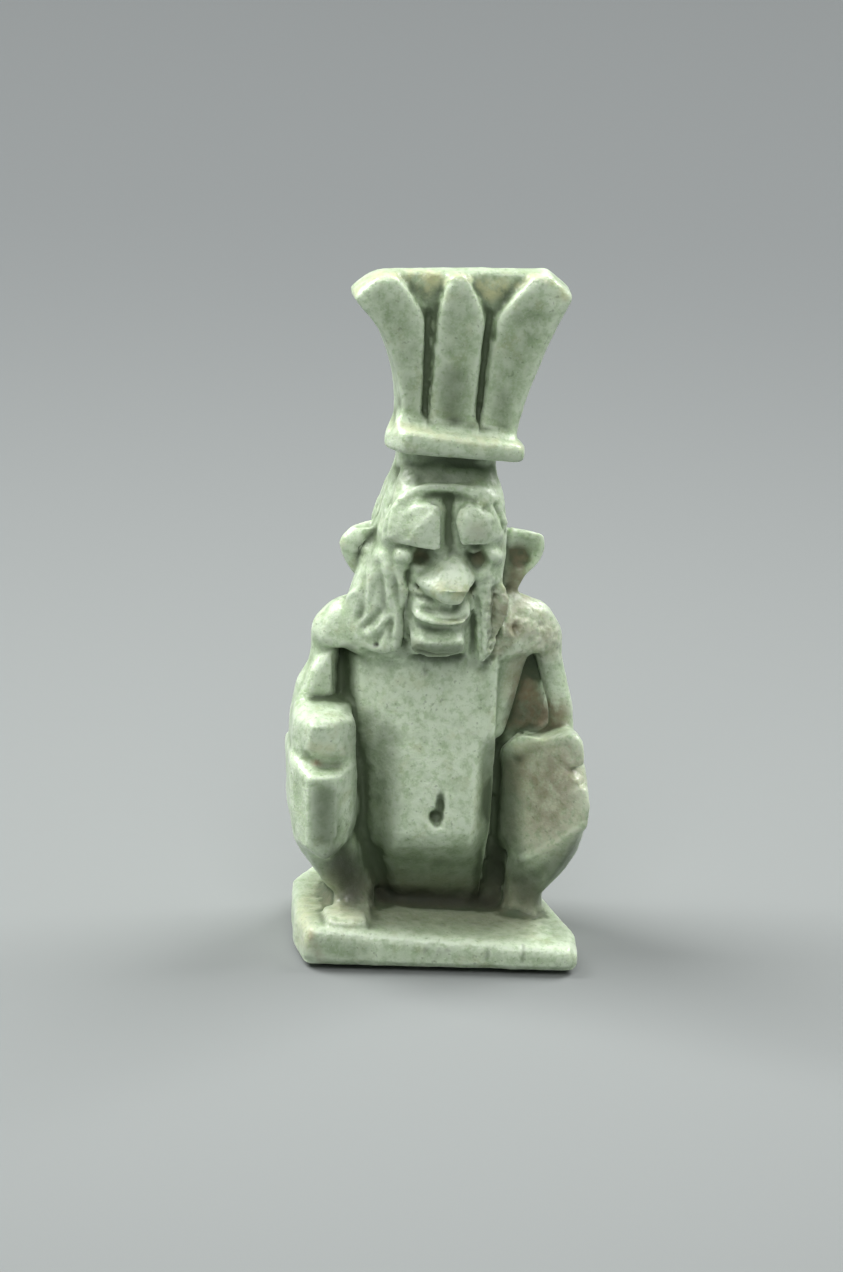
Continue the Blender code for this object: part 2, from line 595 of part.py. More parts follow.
def distance_to_line(points, line):
    """How far each (x, z) point is from a line of (x, z) points, and the share along it."""
    best = np.full(len(points), np.inf)
    share = np.zeros(len(points))
    count = len(line) - 1
    for i in range(count):
        start, step = np.array(line[i]), np.subtract(line[i + 1], line[i])
        along = np.clip((points - start) @ step / (step @ step), 0.0, 1.0)
        away = np.linalg.norm(points - start - along[:, None] * step, axis=1)
        closer = away < best
        best[closer] = away[closer]
        share[closer] = (i + along[closer]) / count
    return best, share


def carve(obj, strokes):
    """Presses strokes into what faces the front.
    Each is (line of (x, z), half width, depth, rearmost y it reaches)."""
    mesh = obj.data
    points = read_points(mesh)
    normals = np.empty(len(mesh.vertices) * 3, np.float32)
    mesh.vertex_normals.foreach_get("vector", normals)
    facing = np.clip(-normals.reshape(-1, 3)[:, 1] * 1.6, 0.0, 1.0)
    for line, half_width, depth, rearmost in strokes:
        metres = [(x * UNIT, z * UNIT + BASE_THICKNESS) for x, z in line]
        away, share = distance_to_line(points[:, [0, 2]], metres)
        fade = np.clip(1.0 - (away / (half_width * UNIT)) ** 2, 0.0, 1.0) ** 1.5
        ends = np.clip(np.minimum(share, 1.0 - share) * 8 + 0.35, 0.0, 1.0)
        in_front = points[:, 1] < rearmost * UNIT
        points[:, 1] += depth * UNIT * fade * ends * facing * in_front
    write_points(mesh, points)


STROKES = (
    # Navel: a slit that widens into a pit
    (((0.06, 4.35), (0.03, 3.75)), 0.16, 0.2, 0.0),
    (((0.0, 3.62), (-0.04, 3.5)), 0.24, 0.3, 0.0),
    # Furrow between the brows
    (((0.0, 15.2), (-0.05, 14.4), (0.0, 13.5)), 0.24, 0.3, 0.0),
    # Eye sockets beside the nose
    (((-1.1, 12.85), (-0.75, 13.15)), 0.42, 0.45, 0.0),
    (((1.05, 12.85), (0.78, 13.15)), 0.4, 0.45, 0.0),
    # Groove round the mouth
    (((-1.35, 12.7), (-1.42, 11.2), (-1.35, 9.7)), 0.2, 0.3, 0.0),
    (((0.86, 12.0), (0.88, 10.8), (0.98, 9.1)), 0.2, 0.35, 0.0),
    # Under the lip
    (((-0.98, 10.68), (-0.3, 10.5), (0.42, 10.62)), 0.14, 0.16, -1.2),
    # Hollows of the ears
    (((-2.75, 13.0), (-2.65, 12.2)), 0.3, 0.14, 1.5),
    (((2.6, 12.8), (2.6, 12.1)), 0.35, 0.16, 1.5),
    # Locks at -X, fanning outwards as they fall
    (((-1.85, 12.2), (-1.8, 11.2), (-1.95, 10.3), (-1.85, 9.7)), 0.13, 0.16, 0.0),
    (((-2.1, 11.9), (-2.2, 11.0), (-2.45, 10.3), (-2.35, 9.8)), 0.13, 0.16, 0.0),
    (((-2.4, 12.0), (-2.6, 11.2), (-2.95, 10.5)), 0.14, 0.16, 0.0),
    # Locks at +X, straight
    (((1.48, 12.0), (1.5, 10.8), (1.45, 9.4)), 0.13, 0.2, 0.0),
    (((1.74, 11.6), (1.72, 10.0)), 0.12, 0.14, 0.0),
    # Pit in the +X shoulder
    (((2.42, 9.98), (2.5, 9.9)), 0.3, 0.22, 1.0),
)


def stand_level(obj):
    """Brings the plate's underside to one plane at z = 0, under the middle of the object."""
    mesh = obj.data
    points = read_points(mesh)
    points[:, 2] = np.maximum(points[:, 2], 0.0)
    points[:, :2] -= (points[:, :2].min(axis=0) + points[:, :2].max(axis=0)) / 2
    write_points(mesh, points)


def glaze(obj):
    material = bpy.data.materials.new("faience")
    material.use_nodes = True
    surface = material.node_tree.nodes["Principled BSDF"]
    surface.inputs["Base Color"].default_value = COLOUR
    surface.inputs["Roughness"].default_value = ROUGHNESS
    surface.inputs["Metallic"].default_value = 0.0
    obj.data.materials.append(material)


def build():
    clear_scene()
    clay = Clay()
    figure = Figure(clay)
    add_base(clay)
    for add in (add_trunk, add_near_leg, add_far_leg, add_near_arm, add_far_arm, add_head, add_face, add_mane):
        add(figure)
    add_crown(clay)
    add_loop(clay)
    body = fuse(clay)
    parts = bpy.data.collections.new("bes_amulet")
    bpy.context.scene.collection.children.link(parts)
    parts.objects.link(body)
    realise(body)
    keep_outer_skin(body)
    carve(body, STROKES)
    stand_level(body)
    body.data.shade_smooth()
    glaze(body)
    thin = body.modifiers.new("Thin", "DECIMATE")
    thin.ratio = TRIANGLES / (2 * len(body.data.polygons))


build()
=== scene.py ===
# A small glazed amulet of Bes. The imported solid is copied, rounded and carved finer, then glazed.
# Places on the front are pixels of the 843 x 1272 photograph; places on the hidden sides are millimetres.

import math

import bmesh
import bpy
import numpy as np
from mathutils import Matrix, Vector


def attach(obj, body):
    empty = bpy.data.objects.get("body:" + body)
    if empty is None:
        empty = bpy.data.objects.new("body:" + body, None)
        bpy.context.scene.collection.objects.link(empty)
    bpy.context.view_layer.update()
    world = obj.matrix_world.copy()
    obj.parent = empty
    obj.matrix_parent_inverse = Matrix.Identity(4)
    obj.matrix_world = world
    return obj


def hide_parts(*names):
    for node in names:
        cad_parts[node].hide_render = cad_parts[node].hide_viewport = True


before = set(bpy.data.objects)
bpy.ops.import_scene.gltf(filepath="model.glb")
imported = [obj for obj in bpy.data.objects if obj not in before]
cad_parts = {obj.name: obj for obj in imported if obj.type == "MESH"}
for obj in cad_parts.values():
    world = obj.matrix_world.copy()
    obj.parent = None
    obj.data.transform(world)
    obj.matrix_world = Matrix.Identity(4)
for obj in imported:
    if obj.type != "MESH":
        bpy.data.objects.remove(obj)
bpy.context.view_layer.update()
mm = 0.001

shot = {
    "azimuth": -8.0,  # degrees, from the front towards the viewer's left
    "elevation": 19.0,
    "roll": 2.4,
    "aim": (-0.62, 0.0, 10.93),  # millimetres
    "distance": 280.0,
    "lens": 233.0,
    "film": 36.0,  # along the photograph's long side
    "wide": 843,
    "high": 1272,
}


# Camera

def cameraAxes():
    # Right, up and back of the camera, rolled about its line of sight
    turn, rise = math.radians(shot["azimuth"]), math.radians(shot["elevation"])
    back = Vector((math.sin(turn) * math.cos(rise), -math.cos(turn) * math.cos(rise), math.sin(rise)))
    right = Vector((0, 0, 1)).cross(back).normalized()
    level = Matrix((right, back.cross(right), back)).transposed()
    return Matrix.Rotation(math.radians(shot["roll"]), 3, back) @ level


def placeCamera():
    axes = cameraAxes()
    eye = Vector(shot["aim"]) * mm + axes.col[2] * shot["distance"] * mm
    lens = bpy.data.cameras.new("camera")
    lens.lens = shot["lens"]
    lens.sensor_width = shot["film"]
    lens.clip_start = 10 * mm
    lens.clip_end = 10.0
    camera = bpy.data.objects.new("camera", lens)
    camera.matrix_world = Matrix.Translation(eye) @ axes.to_4x4()
    bpy.context.scene.collection.objects.link(camera)
    bpy.context.scene.camera = camera


def onPhoto(points):
    # Where points in metres fall on the photograph, in pixels, and how far they lie from the camera
    axes = np.array(cameraAxes())
    eye = np.array(shot["aim"]) * mm + axes[:, 2] * shot["distance"] * mm
    seen = (points - eye) @ axes
    depth = -seen[:, 2]
    scale = shot["lens"] / shot["film"] * shot["high"] / depth
    across = shot["wide"] / 2 + seen[:, 0] * scale
    down = shot["high"] / 2 - seen[:, 1] * scale
    return np.stack([across, down], axis=1), depth


# Whole-array helpers

def read(items, name):
    flat = np.empty(len(items) * 3, np.float32)
    items.foreach_get(name, flat)
    return flat.reshape(-1, 3).astype(float)


def smoothStep(share):
    share = np.clip(share, 0.0, 1.0)
    return share * share * (3 - 2 * share)


def nearLine(points, line):
    # For each 2D point: its distance to a broken line, and how far along it the nearest place lies.
    # The line's whole length comes last.
    if len(line) == 1:
        return np.linalg.norm(points - line[0], axis=1), np.zeros(len(points)), 0.0
    away = np.full(len(points), np.inf)
    along = np.zeros(len(points))
    walked = 0.0
    for start, end in zip(line, line[1:]):
        step = end - start
        length = np.linalg.norm(step)
        share = np.clip((points - start) @ step / length**2, 0.0, 1.0)
        distance = np.linalg.norm(points - start - share[:, None] * step, axis=1)
        closer = distance < away
        away[closer] = distance[closer]
        along[closer] = walked + share[closer] * length
        walked += length
    return away, along, walked


def insideOutline(points, outline):
    # True where a 2D point lies inside the closed outline: a line from it to the right then crosses the
    # outline an odd number of times
    odd = np.zeros(len(points), bool)
    for start, end in zip(outline, np.roll(outline, -1, axis=0)):
        if start[1] == end[1]:
            continue
        across = start[0] + (points[:, 1] - start[1]) / (end[1] - start[1]) * (end[0] - start[0])
        between = (points[:, 1] >= min(start[1], end[1])) & (points[:, 1] < max(start[1], end[1]))
        odd ^= between & (across > points[:, 0])
    return odd


def cloud(points, size, seed):
    # Smooth noise from -1 to 1: random values at the corners of a grid of cells, blended across each cell
    cells = points / (size * mm) + seed * 7.31
    low = np.floor(cells).astype(np.int64)
    share = cells - low
    share = share * share * (3 - 2 * share)
    values = np.random.default_rng(seed).uniform(-1, 1, 4096)
    total = np.zeros(len(points))
    for corner in np.ndindex(2, 2, 2):
        mixed = (low + corner) @ np.array([73856093, 19349663, 83492791])
        weight = np.prod(np.where(corner, share, 1 - share), axis=1)
        total += weight * values[mixed % 4096]
    return total


# The amulet

amulet = {
    "node": "bes_amulet",
    "slot": "faience",
    "grain": 0.055,  # millimetres between points while carving
    "soften": 9,  # rounds of smoothing before the carving
    "faces": 190000,  # triangles in the end
    "frontDepth": 0.45,  # millimetres behind the closest point that still count as seen
    "gapDepth": 2.5,  # millimetres behind the closest point that a bridged gap takes along
    # The plate's lower edge where the photograph shows it, and the gap between it and the floor
    "lowerEdge": ((290, 925), (300, 964), (400, 971), (500, 975), (572, 977), (583, 960)),
    "undercut": 0.19,  # millimetres
    "undercutWide": 26,  # pixels
    "undercutHigh": 0.9,  # millimetres
    # Strands of the mane behind, in millimetres
    "mane": (9.2, 17.2),  # its lower and upper end
    "maneFade": 1.5,
    "strands": 24,  # round the whole head
    "strandDepth": 0.045,
    "loop": (0.0, 2.98, 15.1),  # the suspension loop's centre
    "plainRound": 1.4,  # no strands this near the loop's centre
    # Lumps of the surface: millimetres from one to the next, height in millimetres, and seed
    "unevenness": ((0.9, 0.02, 1), (0.4, 0.014, 2), (0.2, 0.008, 3)),
    # Crumbs of a rough patch: millimetres from one to the next, share of the patch's height, and seed
    "crumbs": ((0.17, 1.0, 5), (0.09, 0.6, 6)),
    # Blocks with round corners: centre and half sizes in millimetres, and how square they are
    "toes": ((-3.17, -2.25, 1.44), (0.72, 0.8, 0.36), 0.35),
    "instep": ((-2.55, -0.1, 1.7), (0.62, 1.3, 0.6), 0.8),
}


def applyModifiers(piece):
    graph = bpy.context.evaluated_depsgraph_get()
    graph.update()
    made = bpy.data.meshes.new_from_object(piece.evaluated_get(graph))
    piece.modifiers.clear()
    piece.data = made


def pebble(centre, radii, square, rows=24, columns=48):
    # A block with round corners: the points of a ball, their sines and cosines raised to a power below one
    def drawn(value):
        return np.sign(value) * np.abs(value) ** square
    rises = np.linspace(-math.pi / 2, math.pi / 2, rows)
    turns = np.linspace(0, 2 * math.pi, columns, endpoint=False)
    rise, turn = np.meshgrid(rises, turns, indexing="ij")
    across = drawn(np.cos(rise)) * drawn(np.cos(turn))
    back = drawn(np.cos(rise)) * drawn(np.sin(turn))
    ball = np.stack([across, back, drawn(np.sin(rise))], -1)
    points = (ball * np.array(radii) + np.array(centre)).reshape(-1, 3) * mm
    low = np.arange(rows - 1)[:, None] * columns
    here, there = np.arange(columns), (np.arange(columns) + 1) % columns
    faces = np.stack([low + here, low + there, low + columns + there, low + columns + here], -1)
    return points, faces.reshape(-1, 4)


def denseCopy(node):
    # The solid with its facets rounded and an even grid of small faces all over
    work = bmesh.new()
    work.from_mesh(node.data)
    bmesh.ops.remove_doubles(work, verts=work.verts, dist=0.001 * mm)
    mesh = bpy.data.meshes.new("besAmulet")
    work.to_mesh(mesh)
    work.free()
    piece = bpy.data.objects.new("besAmulet", mesh)
    bpy.context.scene.collection.objects.link(piece)
    rounder = piece.modifiers.new("rounder", "SUBSURF")
    rounder.levels = rounder.render_levels = 2
    applyModifiers(piece)

    work = bmesh.new()
    work.from_mesh(piece.data)
    for block in ("toes", "instep"):
        extra = bpy.data.meshes.new(block)
        points, faces = pebble(*amulet[block])
        extra.from_pydata(points.tolist(), [], faces.tolist())
        work.from_mesh(extra)
    work.to_mesh(piece.data)
    work.free()

    grid = piece.modifiers.new("grid", "REMESH")
    grid.mode = "VOXEL"
    grid.voxel_size = amulet["grain"] * mm
    soften = piece.modifiers.new("soften", "SMOOTH")
    soften.factor = 0.5
    soften.iterations = amulet["soften"]
    applyModifiers(piece)
    return piece


class Carving:
    # The dense mesh as arrays, with what the camera sees of it. Brushes are drawn on the photograph's
    # pixels.

    def __init__(self, mesh):
        self.mesh = mesh
        links = np.empty(len(mesh.edges) * 2, np.int32)
        mesh.edges.foreach_get("vertices", links)
        self.links = links.reshape(-1, 2)
        self.points = read(mesh.vertices, "co")
        self.look()

    def blur(self, values, passes, near=None):
        # Each point moves halfway to the mean of its neighbours, passes times over. near names the
        # points that move.
        links = self.links
        moving = np.ones(len(values), bool)
        if near is not None:
            moving[:] = False
            moving[near] = True
            links = links[moving[links].any(axis=1)]
        used, links = np.unique(links, return_inverse=True)
        one, other = links.reshape(-1, 2).T
        partners = np.bincount(one, minlength=len(used)) + np.bincount(other, minlength=len(used))
        still = ~moving[used]
        part = values[used].reshape(len(used), -1)
        for _ in range(passes):
            sums = [
                np.bincount(one, column[other], len(used)) + np.bincount(other, column[one], len(used))
                for column in part.T
            ]
            halfway = (part + np.stack(sums, axis=1) / partners[:, None]) / 2
            halfway[still] = part[still]
            part = halfway
        blurred = values.copy()
        blurred[used] = part.reshape(blurred[used].shape)
        return blurred

    def write(self):
        self.mesh.vertices.foreach_set("co", self.points.astype(np.float32).ravel())
        self.mesh.update()

    def look(self):
        self.write()
        self.normals = self.blur(read(self.mesh.vertex_normals, "vector"), 4)
        self.normals /= np.linalg.norm(self.normals, axis=1)[:, None]
        self.pixels, depth = onPhoto(self.points)
        # A point is in front if it is near the closest point within its cell of a few pixels
        cell = 4
        cells = np.floor(self.pixels / cell).astype(int)
        index = cells[:, 0] * shot["high"] + cells[:, 1]
        nearest = np.full(index.max() + 1, np.inf)
        np.minimum.at(nearest, index, depth)
        self.behind = depth - nearest[index]
        front = self.behind < amulet["frontDepth"] * mm
        facing = smoothStep(self.normals @ np.array(cameraAxes())[:, 2] * 2.5)
        self.seen = self.blur(front * facing, 3)

    def under(self, line, wide):
        # The points that a brush of this half width touches, and how strongly: a bell across the line.
        # ends falls off towards the line's two ends.
        line = np.asarray(line, float).reshape(-1, 2)
        low, high = line.min(axis=0) - wide, line.max(axis=0) + wide
        framed = np.all((self.pixels > low) & (self.pixels < high), axis=1)
        near = np.flatnonzero(framed & (self.seen > 0.02))
        away, along, length = nearLine(self.pixels[near], line)
        ends = smoothStep(0.4 + np.minimum(along, length - along) / wide) if length else 1.0
        return near, np.clip(1 - (away / wide) ** 2, 0, 1) ** 2 * self.seen[near], ends

    def cut(self, wide, deep, *line):
        # Presses in by deep millimetres along the surface's own normal, or raises where deep is below 0
        near, strength, ends = self.under(line, wide)
        self.points[near] -= self.normals[near] * (deep * mm * strength * ends)[:, None]

    def pull(self, wide, across, down, *line):
        # Moves the surface over the picture by so many pixels
        near, strength, _ = self.under(line, wide)
        axes = np.array(cameraAxes())
        step = (axes[:, 0] * across - axes[:, 1] * down) * pixel
        self.points[near] += strength[:, None] * step

    def melt(self, wide, passes, *line):
        # Rounds edges off and fills corners
        near, strength, _ = self.under(line, wide)
        strength = np.minimum(1.6 * strength, 1.0)[:, None]
        smoother = self.blur(self.points, passes, near)
        self.points[near] += strength * (smoother[near] - self.points[near])

    def fill(self, wide, passes, *line):
        # Stretches a skin over a gap: its hidden walls are smoothed along with what is seen
        away = nearLine(self.pixels, np.asarray(line, float).reshape(-1, 2))[0]
        near = np.flatnonzero((away < wide) & (self.behind < amulet["gapDepth"] * mm))
        strength = smoothStep(2 - 2 * away[near] / wide)[:, None]
        smoother = self.blur(self.points, passes, near)
        self.points[near] += strength * (smoother[near] - self.points[near])

    def lean(self, soft, profile, *outline):
        # Brings the surface within the outline nearer, by the millimetres that the profile gives for
        # each row of the picture
        outline = np.array(outline, float)
        near = np.flatnonzero(insideOutline(self.pixels, outline) & (self.seen > 0.02))
        rim = nearLine(self.pixels[near], np.vstack([outline, outline[:1]]))[0]
        rows, steps = np.array(profile).T
        step = np.interp(self.pixels[near, 1], rows, steps) * smoothStep(rim / soft) * self.seen[near]
        turn = math.radians(shot["azimuth"])
        self.points[near] += step[:, None] * mm * np.array([math.sin(turn), -math.cos(turn), 0.0])

    def undercut(self):
        # Lifts the plate's lower edge off the floor, less and less towards the middle of the underside
        edge = np.array(amulet["lowerEdge"], float)
        away = nearLine(self.pixels, edge)[0] / amulet["undercutWide"]
        low = np.clip(1 - self.points[:, 2] / (amulet["undercutHigh"] * mm), 0, 1) ** 2
        self.points[:, 2] += amulet["undercut"] * mm * np.clip(1 - away**2, 0, 1) * low

    def strands(self):
        # Waves round the mane behind: the cosine of the angle about the vertical axis, which sways a
        # little with the height. They fade towards the mane's ends, the loop and the front.
        across, back, high = self.points.T / mm
        turn = np.degrees(np.arctan2(across, back))
        low, top = amulet["mane"]
        fade = amulet["maneFade"]
        faded = smoothStep((high - low) / fade) * smoothStep((top - high) / fade)
        faded = faded * smoothStep((105 - np.abs(turn)) / 15)
        loop = np.linalg.norm(self.points / mm - np.array(amulet["loop"]), axis=1)
        faded *= smoothStep((loop - amulet["plainRound"]) / 0.6) * (1 - self.seen)
        bend = turn + 6 * np.sin(high * 0.9)
        waves = smoothStep(0.5 + 0.9 * np.cos(np.radians(bend * amulet["strands"])))
        self.points -= self.normals * (amulet["strandDepth"] * mm * faded * waves)[:, None]

    def roughen(self, wide, high, *line):
        # Crumbles the surface under the line by so many millimetres
        near, strength, _ = self.under(line, wide)
        grains = sum(share * cloud(self.points[near], size, seed) for size, share, seed in amulet["crumbs"])
        self.points[near] += self.normals[near] * (high * mm * strength * grains)[:, None]

    def flatten(self, share, lift, *outline):
        # Draws the surface within the outline towards its own mean plane, for a facet left by a blade
        outline = np.array(outline, float)
        near = np.flatnonzero(insideOutline(self.pixels, outline) & (self.seen > 0.3))
        rim = nearLine(self.pixels[near], np.vstack([outline, outline[:1]]))[0]
        inner = near[rim > 1.5]
        centre = self.points[inner].mean(axis=0)
        facet = np.linalg.svd(self.points[inner] - centre, full_matrices=False)[2][2]
        facet *= np.sign(facet @ self.normals[inner].mean(axis=0))
        high = (self.points[near] - centre) @ facet
        strength = share * smoothStep(rim / 3.5) * self.seen[near]
        self.points[near] -= facet * (strength * (high - lift * mm))[:, None]


pixel = mm / 29.4  # one of the photograph's pixels, at the amulet

# Rounded off before the carving: half width in pixels, rounds of smoothing, then the line
melts = {
    "crown's front edge": (
        9, 12, (350, 292), (380, 273), (400, 274), (445, 277), (470, 277), (530, 276), (568, 292),
    ),
    "near plume's outer edge": (6, 8, (350, 300), (372, 335), (392, 370), (402, 415)),
    "far plume's outer edge": (6, 8, (568, 300), (545, 340), (525, 380), (515, 430)),
    "cove": (8, 30, (400, 417), (440, 425), (515, 435)),
    "moulding": (9, 10, (384, 430), (392, 436)),
    "moulding's front edge": (5, 8, (397, 429), (430, 434), (468, 438), (526, 447)),
    "hairline": (
        15, 50, (394, 506), (402, 490), (415, 480), (440, 480), (468, 485), (490, 494), (503, 508),
    ),
    "far brow": (20, 16, (473, 512), (480, 535)),
    "near brow": (16, 6, (405, 520), (425, 515)),
    "near eye": (16, 22, (402, 555), (424, 557)),
    "far eye": (15, 30, (478, 556), (495, 556)),
    "nose": (30, 8, (446, 568), (446, 578)),
    "under the nose": (18, 8, (428, 600), (460, 603)),
    "near locks": (30, 22, (375, 580), (382, 620)),
    "near ear": (15, 14, (352, 545), (358, 560)),
    "far cheek": (20, 24, (488, 590), (488, 640)),
    "gap behind the far cheek": (14, 50, (502, 590), (505, 640)),
    "near hand": (16, 8, (320, 720), (340, 745)),
    "near foot": (20, 60, (320, 892), (345, 895), (370, 897)),
    "far foot": (16, 40, (490, 900), (520, 903), (545, 898)),
    "far knee's notch": (12, 8, (580, 770), (580, 790)),
    "plate's front edge": (9, 16, (305, 930), (370, 936), (440, 940), (577, 951)),
    "plate's near edge": (8, 25, (290, 880), (291, 900), (304, 929), (305, 965)),
    "plate's far edge": (8, 25, (545, 893), (579, 946), (578, 972)),
    "plate's bottom edge": (10, 90, (303, 966), (400, 972), (575, 977)),
    "corner of the far shin": (12, 40, (505, 845), (505, 852)),
    "near hand's notch": (9, 10, (305, 760), (345, 762)),
    "near knee's edge": (6, 8, (318, 850), (342, 846)),
    "near web": (15, 50, (424, 284), (427, 296)),
    "far web": (16, 50, (494, 285), (491, 298)),
}

# Rounded off after the moves
lateMelts = {
    "foot of the belly": (13, 40, (378, 893), (430, 897), (492, 900)),
    "near side of the belly": (12, 20, (362, 760), (366, 830), (378, 890)),
    "inside of the far shin": (12, 40, (506, 846), (500, 870), (498, 896)),
    "nose": (20, 4, (440, 575), (450, 590)),
    "eyes": (10, 6, (404, 558)),
    "near foot": (22, 60, (335, 893), (362, 894)),
    "furrow": (13, 24, (448, 503), (448, 548)),
    "hairline": (
        13, 30, (396, 506), (404, 490), (416, 482), (440, 482), (468, 487), (490, 496), (502, 508),
    ),
    "near socket": (13, 14, (421, 557)),
    "far socket": (13, 16, (480, 558)),
    "under the lip": (9, 16, (416, 628), (440, 632), (468, 628)),
    "far cheek": (13, 16, (480, 600), (484, 655)),
    "slab's inner edge": (15, 30, (506, 765), (506, 842)),
    "far side of the belly": (14, 30, (494, 760), (491, 830), (487, 892)),
    "near knee's inner side": (8, 10, (356, 730), (354, 840)),
    "underside of the belly": (20, 50, (392, 866), (440, 868), (476, 868)),
    "chin": (14, 30, (418, 642), (440, 648), (468, 646)),
}

# Rounded off after the cuts
lastMelts = {
    "gap beside the far shin": (18, 40, (497, 850), (496, 896)),
    "corner of the far shin": (12, 30, (508, 846), (508, 856)),
}

# Gaps that are bridged: half width in pixels, rounds of smoothing, then the line
fills = {
    "furrow": (8, 240, (448, 503), (448, 547)),
    "hairline": (12, 120, (414, 497), (438, 496), (464, 498)),
    "under the lip": (11, 120, (420, 630), (440, 633), (466, 631)),
    "slot beside the near arm": (13, 260, (342, 658), (342, 694)),
    "far side of the mouth": (8, 120, (473, 598), (472, 625), (471, 655)),
    "gap beside the far shin": (10, 120, (500, 848), (500, 854)),
}

# Moves over the picture: half width, pixels across and down, then the line
pulls = {
    "nose": (34, 4, 10, (443, 560), (446, 590)),
    "mouth": (17, 2, 7, (414, 606), (440, 615), (466, 608)),
    "chin": (17, 1, -6, (422, 656), (458, 656)),
    "far brow": (18, -3, 3, (464, 508), (462, 540)),
    "far ear": (22, 7, 0, (530, 530), (535, 560)),
    "near ear's top": (12, -2, 7, (360, 518), (370, 518)),
    "near brow's edge": (14, 0, 3, (395, 542), (430, 544)),
    "near groove": (8, -2, 0, (436, 350), (434, 428)),
    "near groove's end": (7, -2, 0, (433, 390), (432, 430)),
    "far groove": (8, -3, 0, (491, 345), (488, 432)),
    "far groove's end": (7, -3, 0, (485, 390), (484, 432)),
    "tip of the nose": (13, 0, -1, (440, 596), (462, 598)),
    "far end of the plate": (16, -5, 0, (583, 948), (581, 968)),
    "lower edge of the belly": (30, 0, 11, (392, 884), (440, 887), (478, 889)),
    "near brow's inner edge": (10, 3, 0, (438, 508), (439, 545)),
    "far side of the mouth": (12, 5, 0, (462, 604), (464, 646)),
    "far hand's inner corner": (20, -9, -9, (516, 757), (528, 746)),
}

# Nearer or farther: softness of the rim in pixels, pairs of a row of the picture and the millimetres
# nearer, then the outline
leans = {
    "belly": (
        22, ((655, -0.35), (740, 0.05), (828, 0.5), (842, 0.4), (896, -0.7)),
        (350, 648), (503, 648), (503, 740), (496, 800), (487, 905), (372, 905), (358, 800), (352, 720),
    ),
    "near side of the belly": (
        18, ((735, 0.0), (800, -0.4), (905, -0.5)), (340, 735), (388, 735), (400, 905), (360, 905),
    ),
    "far side of the belly": (
        11, ((735, 0.0), (790, -0.4), (905, -0.5)), (475, 735), (504, 735), (498, 905), (468, 905),
    ),
}

# Facets: share, lift in millimetres, then the outline
facets = {
    "near brow, above": (0.5, 0.02, (388, 540), (396, 516), (416, 504), (433, 503), (421, 517), (402, 538)),
    "near brow, below": (0.5, 0.03, (421, 519), (434, 507), (443, 526), (441, 545), (418, 547), (402, 542)),
    "far brow, face": (0.4, 0.03, (470, 509), (489, 518), (497, 532), (489, 548), (472, 555), (462, 545)),
    "nose, tip": (0.8, 0.02, (434, 590), (451, 579), (468, 585), (475, 594), (464, 603), (446, 599)),
    "near hand": (0.5, 0.02, (309, 724), (334, 724), (347, 748), (347, 757), (308, 757)),
    "near knee": (0.8, 0.0, (310, 788), (338, 787), (338, 836), (330, 848), (314, 840)),
}

# Cuts: half width in pixels, depth in millimetres (below 0 raises), then the line
crownCuts = {
    "crumbled end of the moulding": (7, 0.08, (382, 420), (378, 428)),
    "near groove": (4, 0.1, (429, 312), (426, 360), (424, 412)),
    "far groove": (4, 0.1, (490, 312), (484, 360), (478, 412)),
    "near plume's rim": (5, -0.03, (402, 280), (426, 310)),
}
faceCuts = {
    "forehead over the hairline": (
        14, -0.1, (398, 490), (410, 475), (440, 472), (470, 477), (494, 487), (504, 500),
    ),
    "hair beside the brow": (5, 0.1, (397, 466), (391, 490), (386, 510), (384, 535)),
    "second strand": (4, 0.07, (387, 468), (379, 495), (375, 515)),
    "third strand": (4, 0.05, (378, 500), (370, 520)),
    "knot of the hairline": (8, -0.1, (413, 482)),
    "far hair over the brow": (5, 0.14, (495, 502), (502, 516), (508, 534)),
    "far rim": (5, -0.08, (503, 500), (511, 518), (513, 545)),
    "ridge of the far brow": (5, -0.08, (466, 520), (469, 505), (475, 511), (492, 520)),
    "dent over the far brow": (7, 0.12, (484, 506), (488, 509)),
    "furrow": (7, 0.04, (449, 500), (449, 522), (449, 545)),
    "under the hairline": (8, 0.06, (400, 508), (417, 497), (437, 496), (463, 499), (478, 504)),
    "near socket": (13, 0.08, (419, 557), (426, 561)),
    "far socket": (10, 0.06, (478, 560), (483, 562)),
    "near eyeball": (12, -0.15, (403, 556)),
    "far eyeball": (10, -0.14, (496, 556)),
    "bridge": (10, 0.15, (447, 553), (452, 556)),
    "near nostril fold": (7, -0.08, (408, 587), (412, 588)),
    "under the near nostril": (4, 0.12, (412, 595), (424, 598), (432, 602)),
    "under the nose": (7, 0.05, (440, 608), (458, 610)),
    "near moustache": (6, -0.1, (417, 604), (427, 603)),
    "far moustache": (6, -0.08, (466, 608), (471, 605)),
    "upper lip": (8, -0.1, (414, 611), (430, 617), (451, 619), (470, 612)),
    "under the lip": (6, 0.04, (416, 625), (434, 630), (457, 631), (474, 625)),
    "chin's near edge": (5, -0.05, (420, 634), (424, 643)),
    "chin's lower edge": (7, -0.07, (424, 644), (443, 646), (460, 644)),
    "under the chin": (5, 0.14, (416, 653), (435, 658), (463, 657)),
    "near side of the mouth": (7, -0.2, (403, 585), (405, 610), (406, 640)),
    "far side of the mouth": (5, 0.06, (474, 598), (473, 625), (472, 655)),
    "near ear, filled": (12, -0.2, (364, 535), (360, 555)),
    "far ear's hollow": (10, 0.05, (523, 552), (523, 568)),
    "far ear's rim": (5, -0.06, (516, 532), (542, 536), (543, 552)),
    "top of the far gap": (7, -0.2, (472, 590), (474, 610)),
    "top of the furrow": (8, 0.08, (447, 499), (449, 504)),
    "lower lid": (5, -0.05, (396, 566), (412, 568), (425, 566)),
}
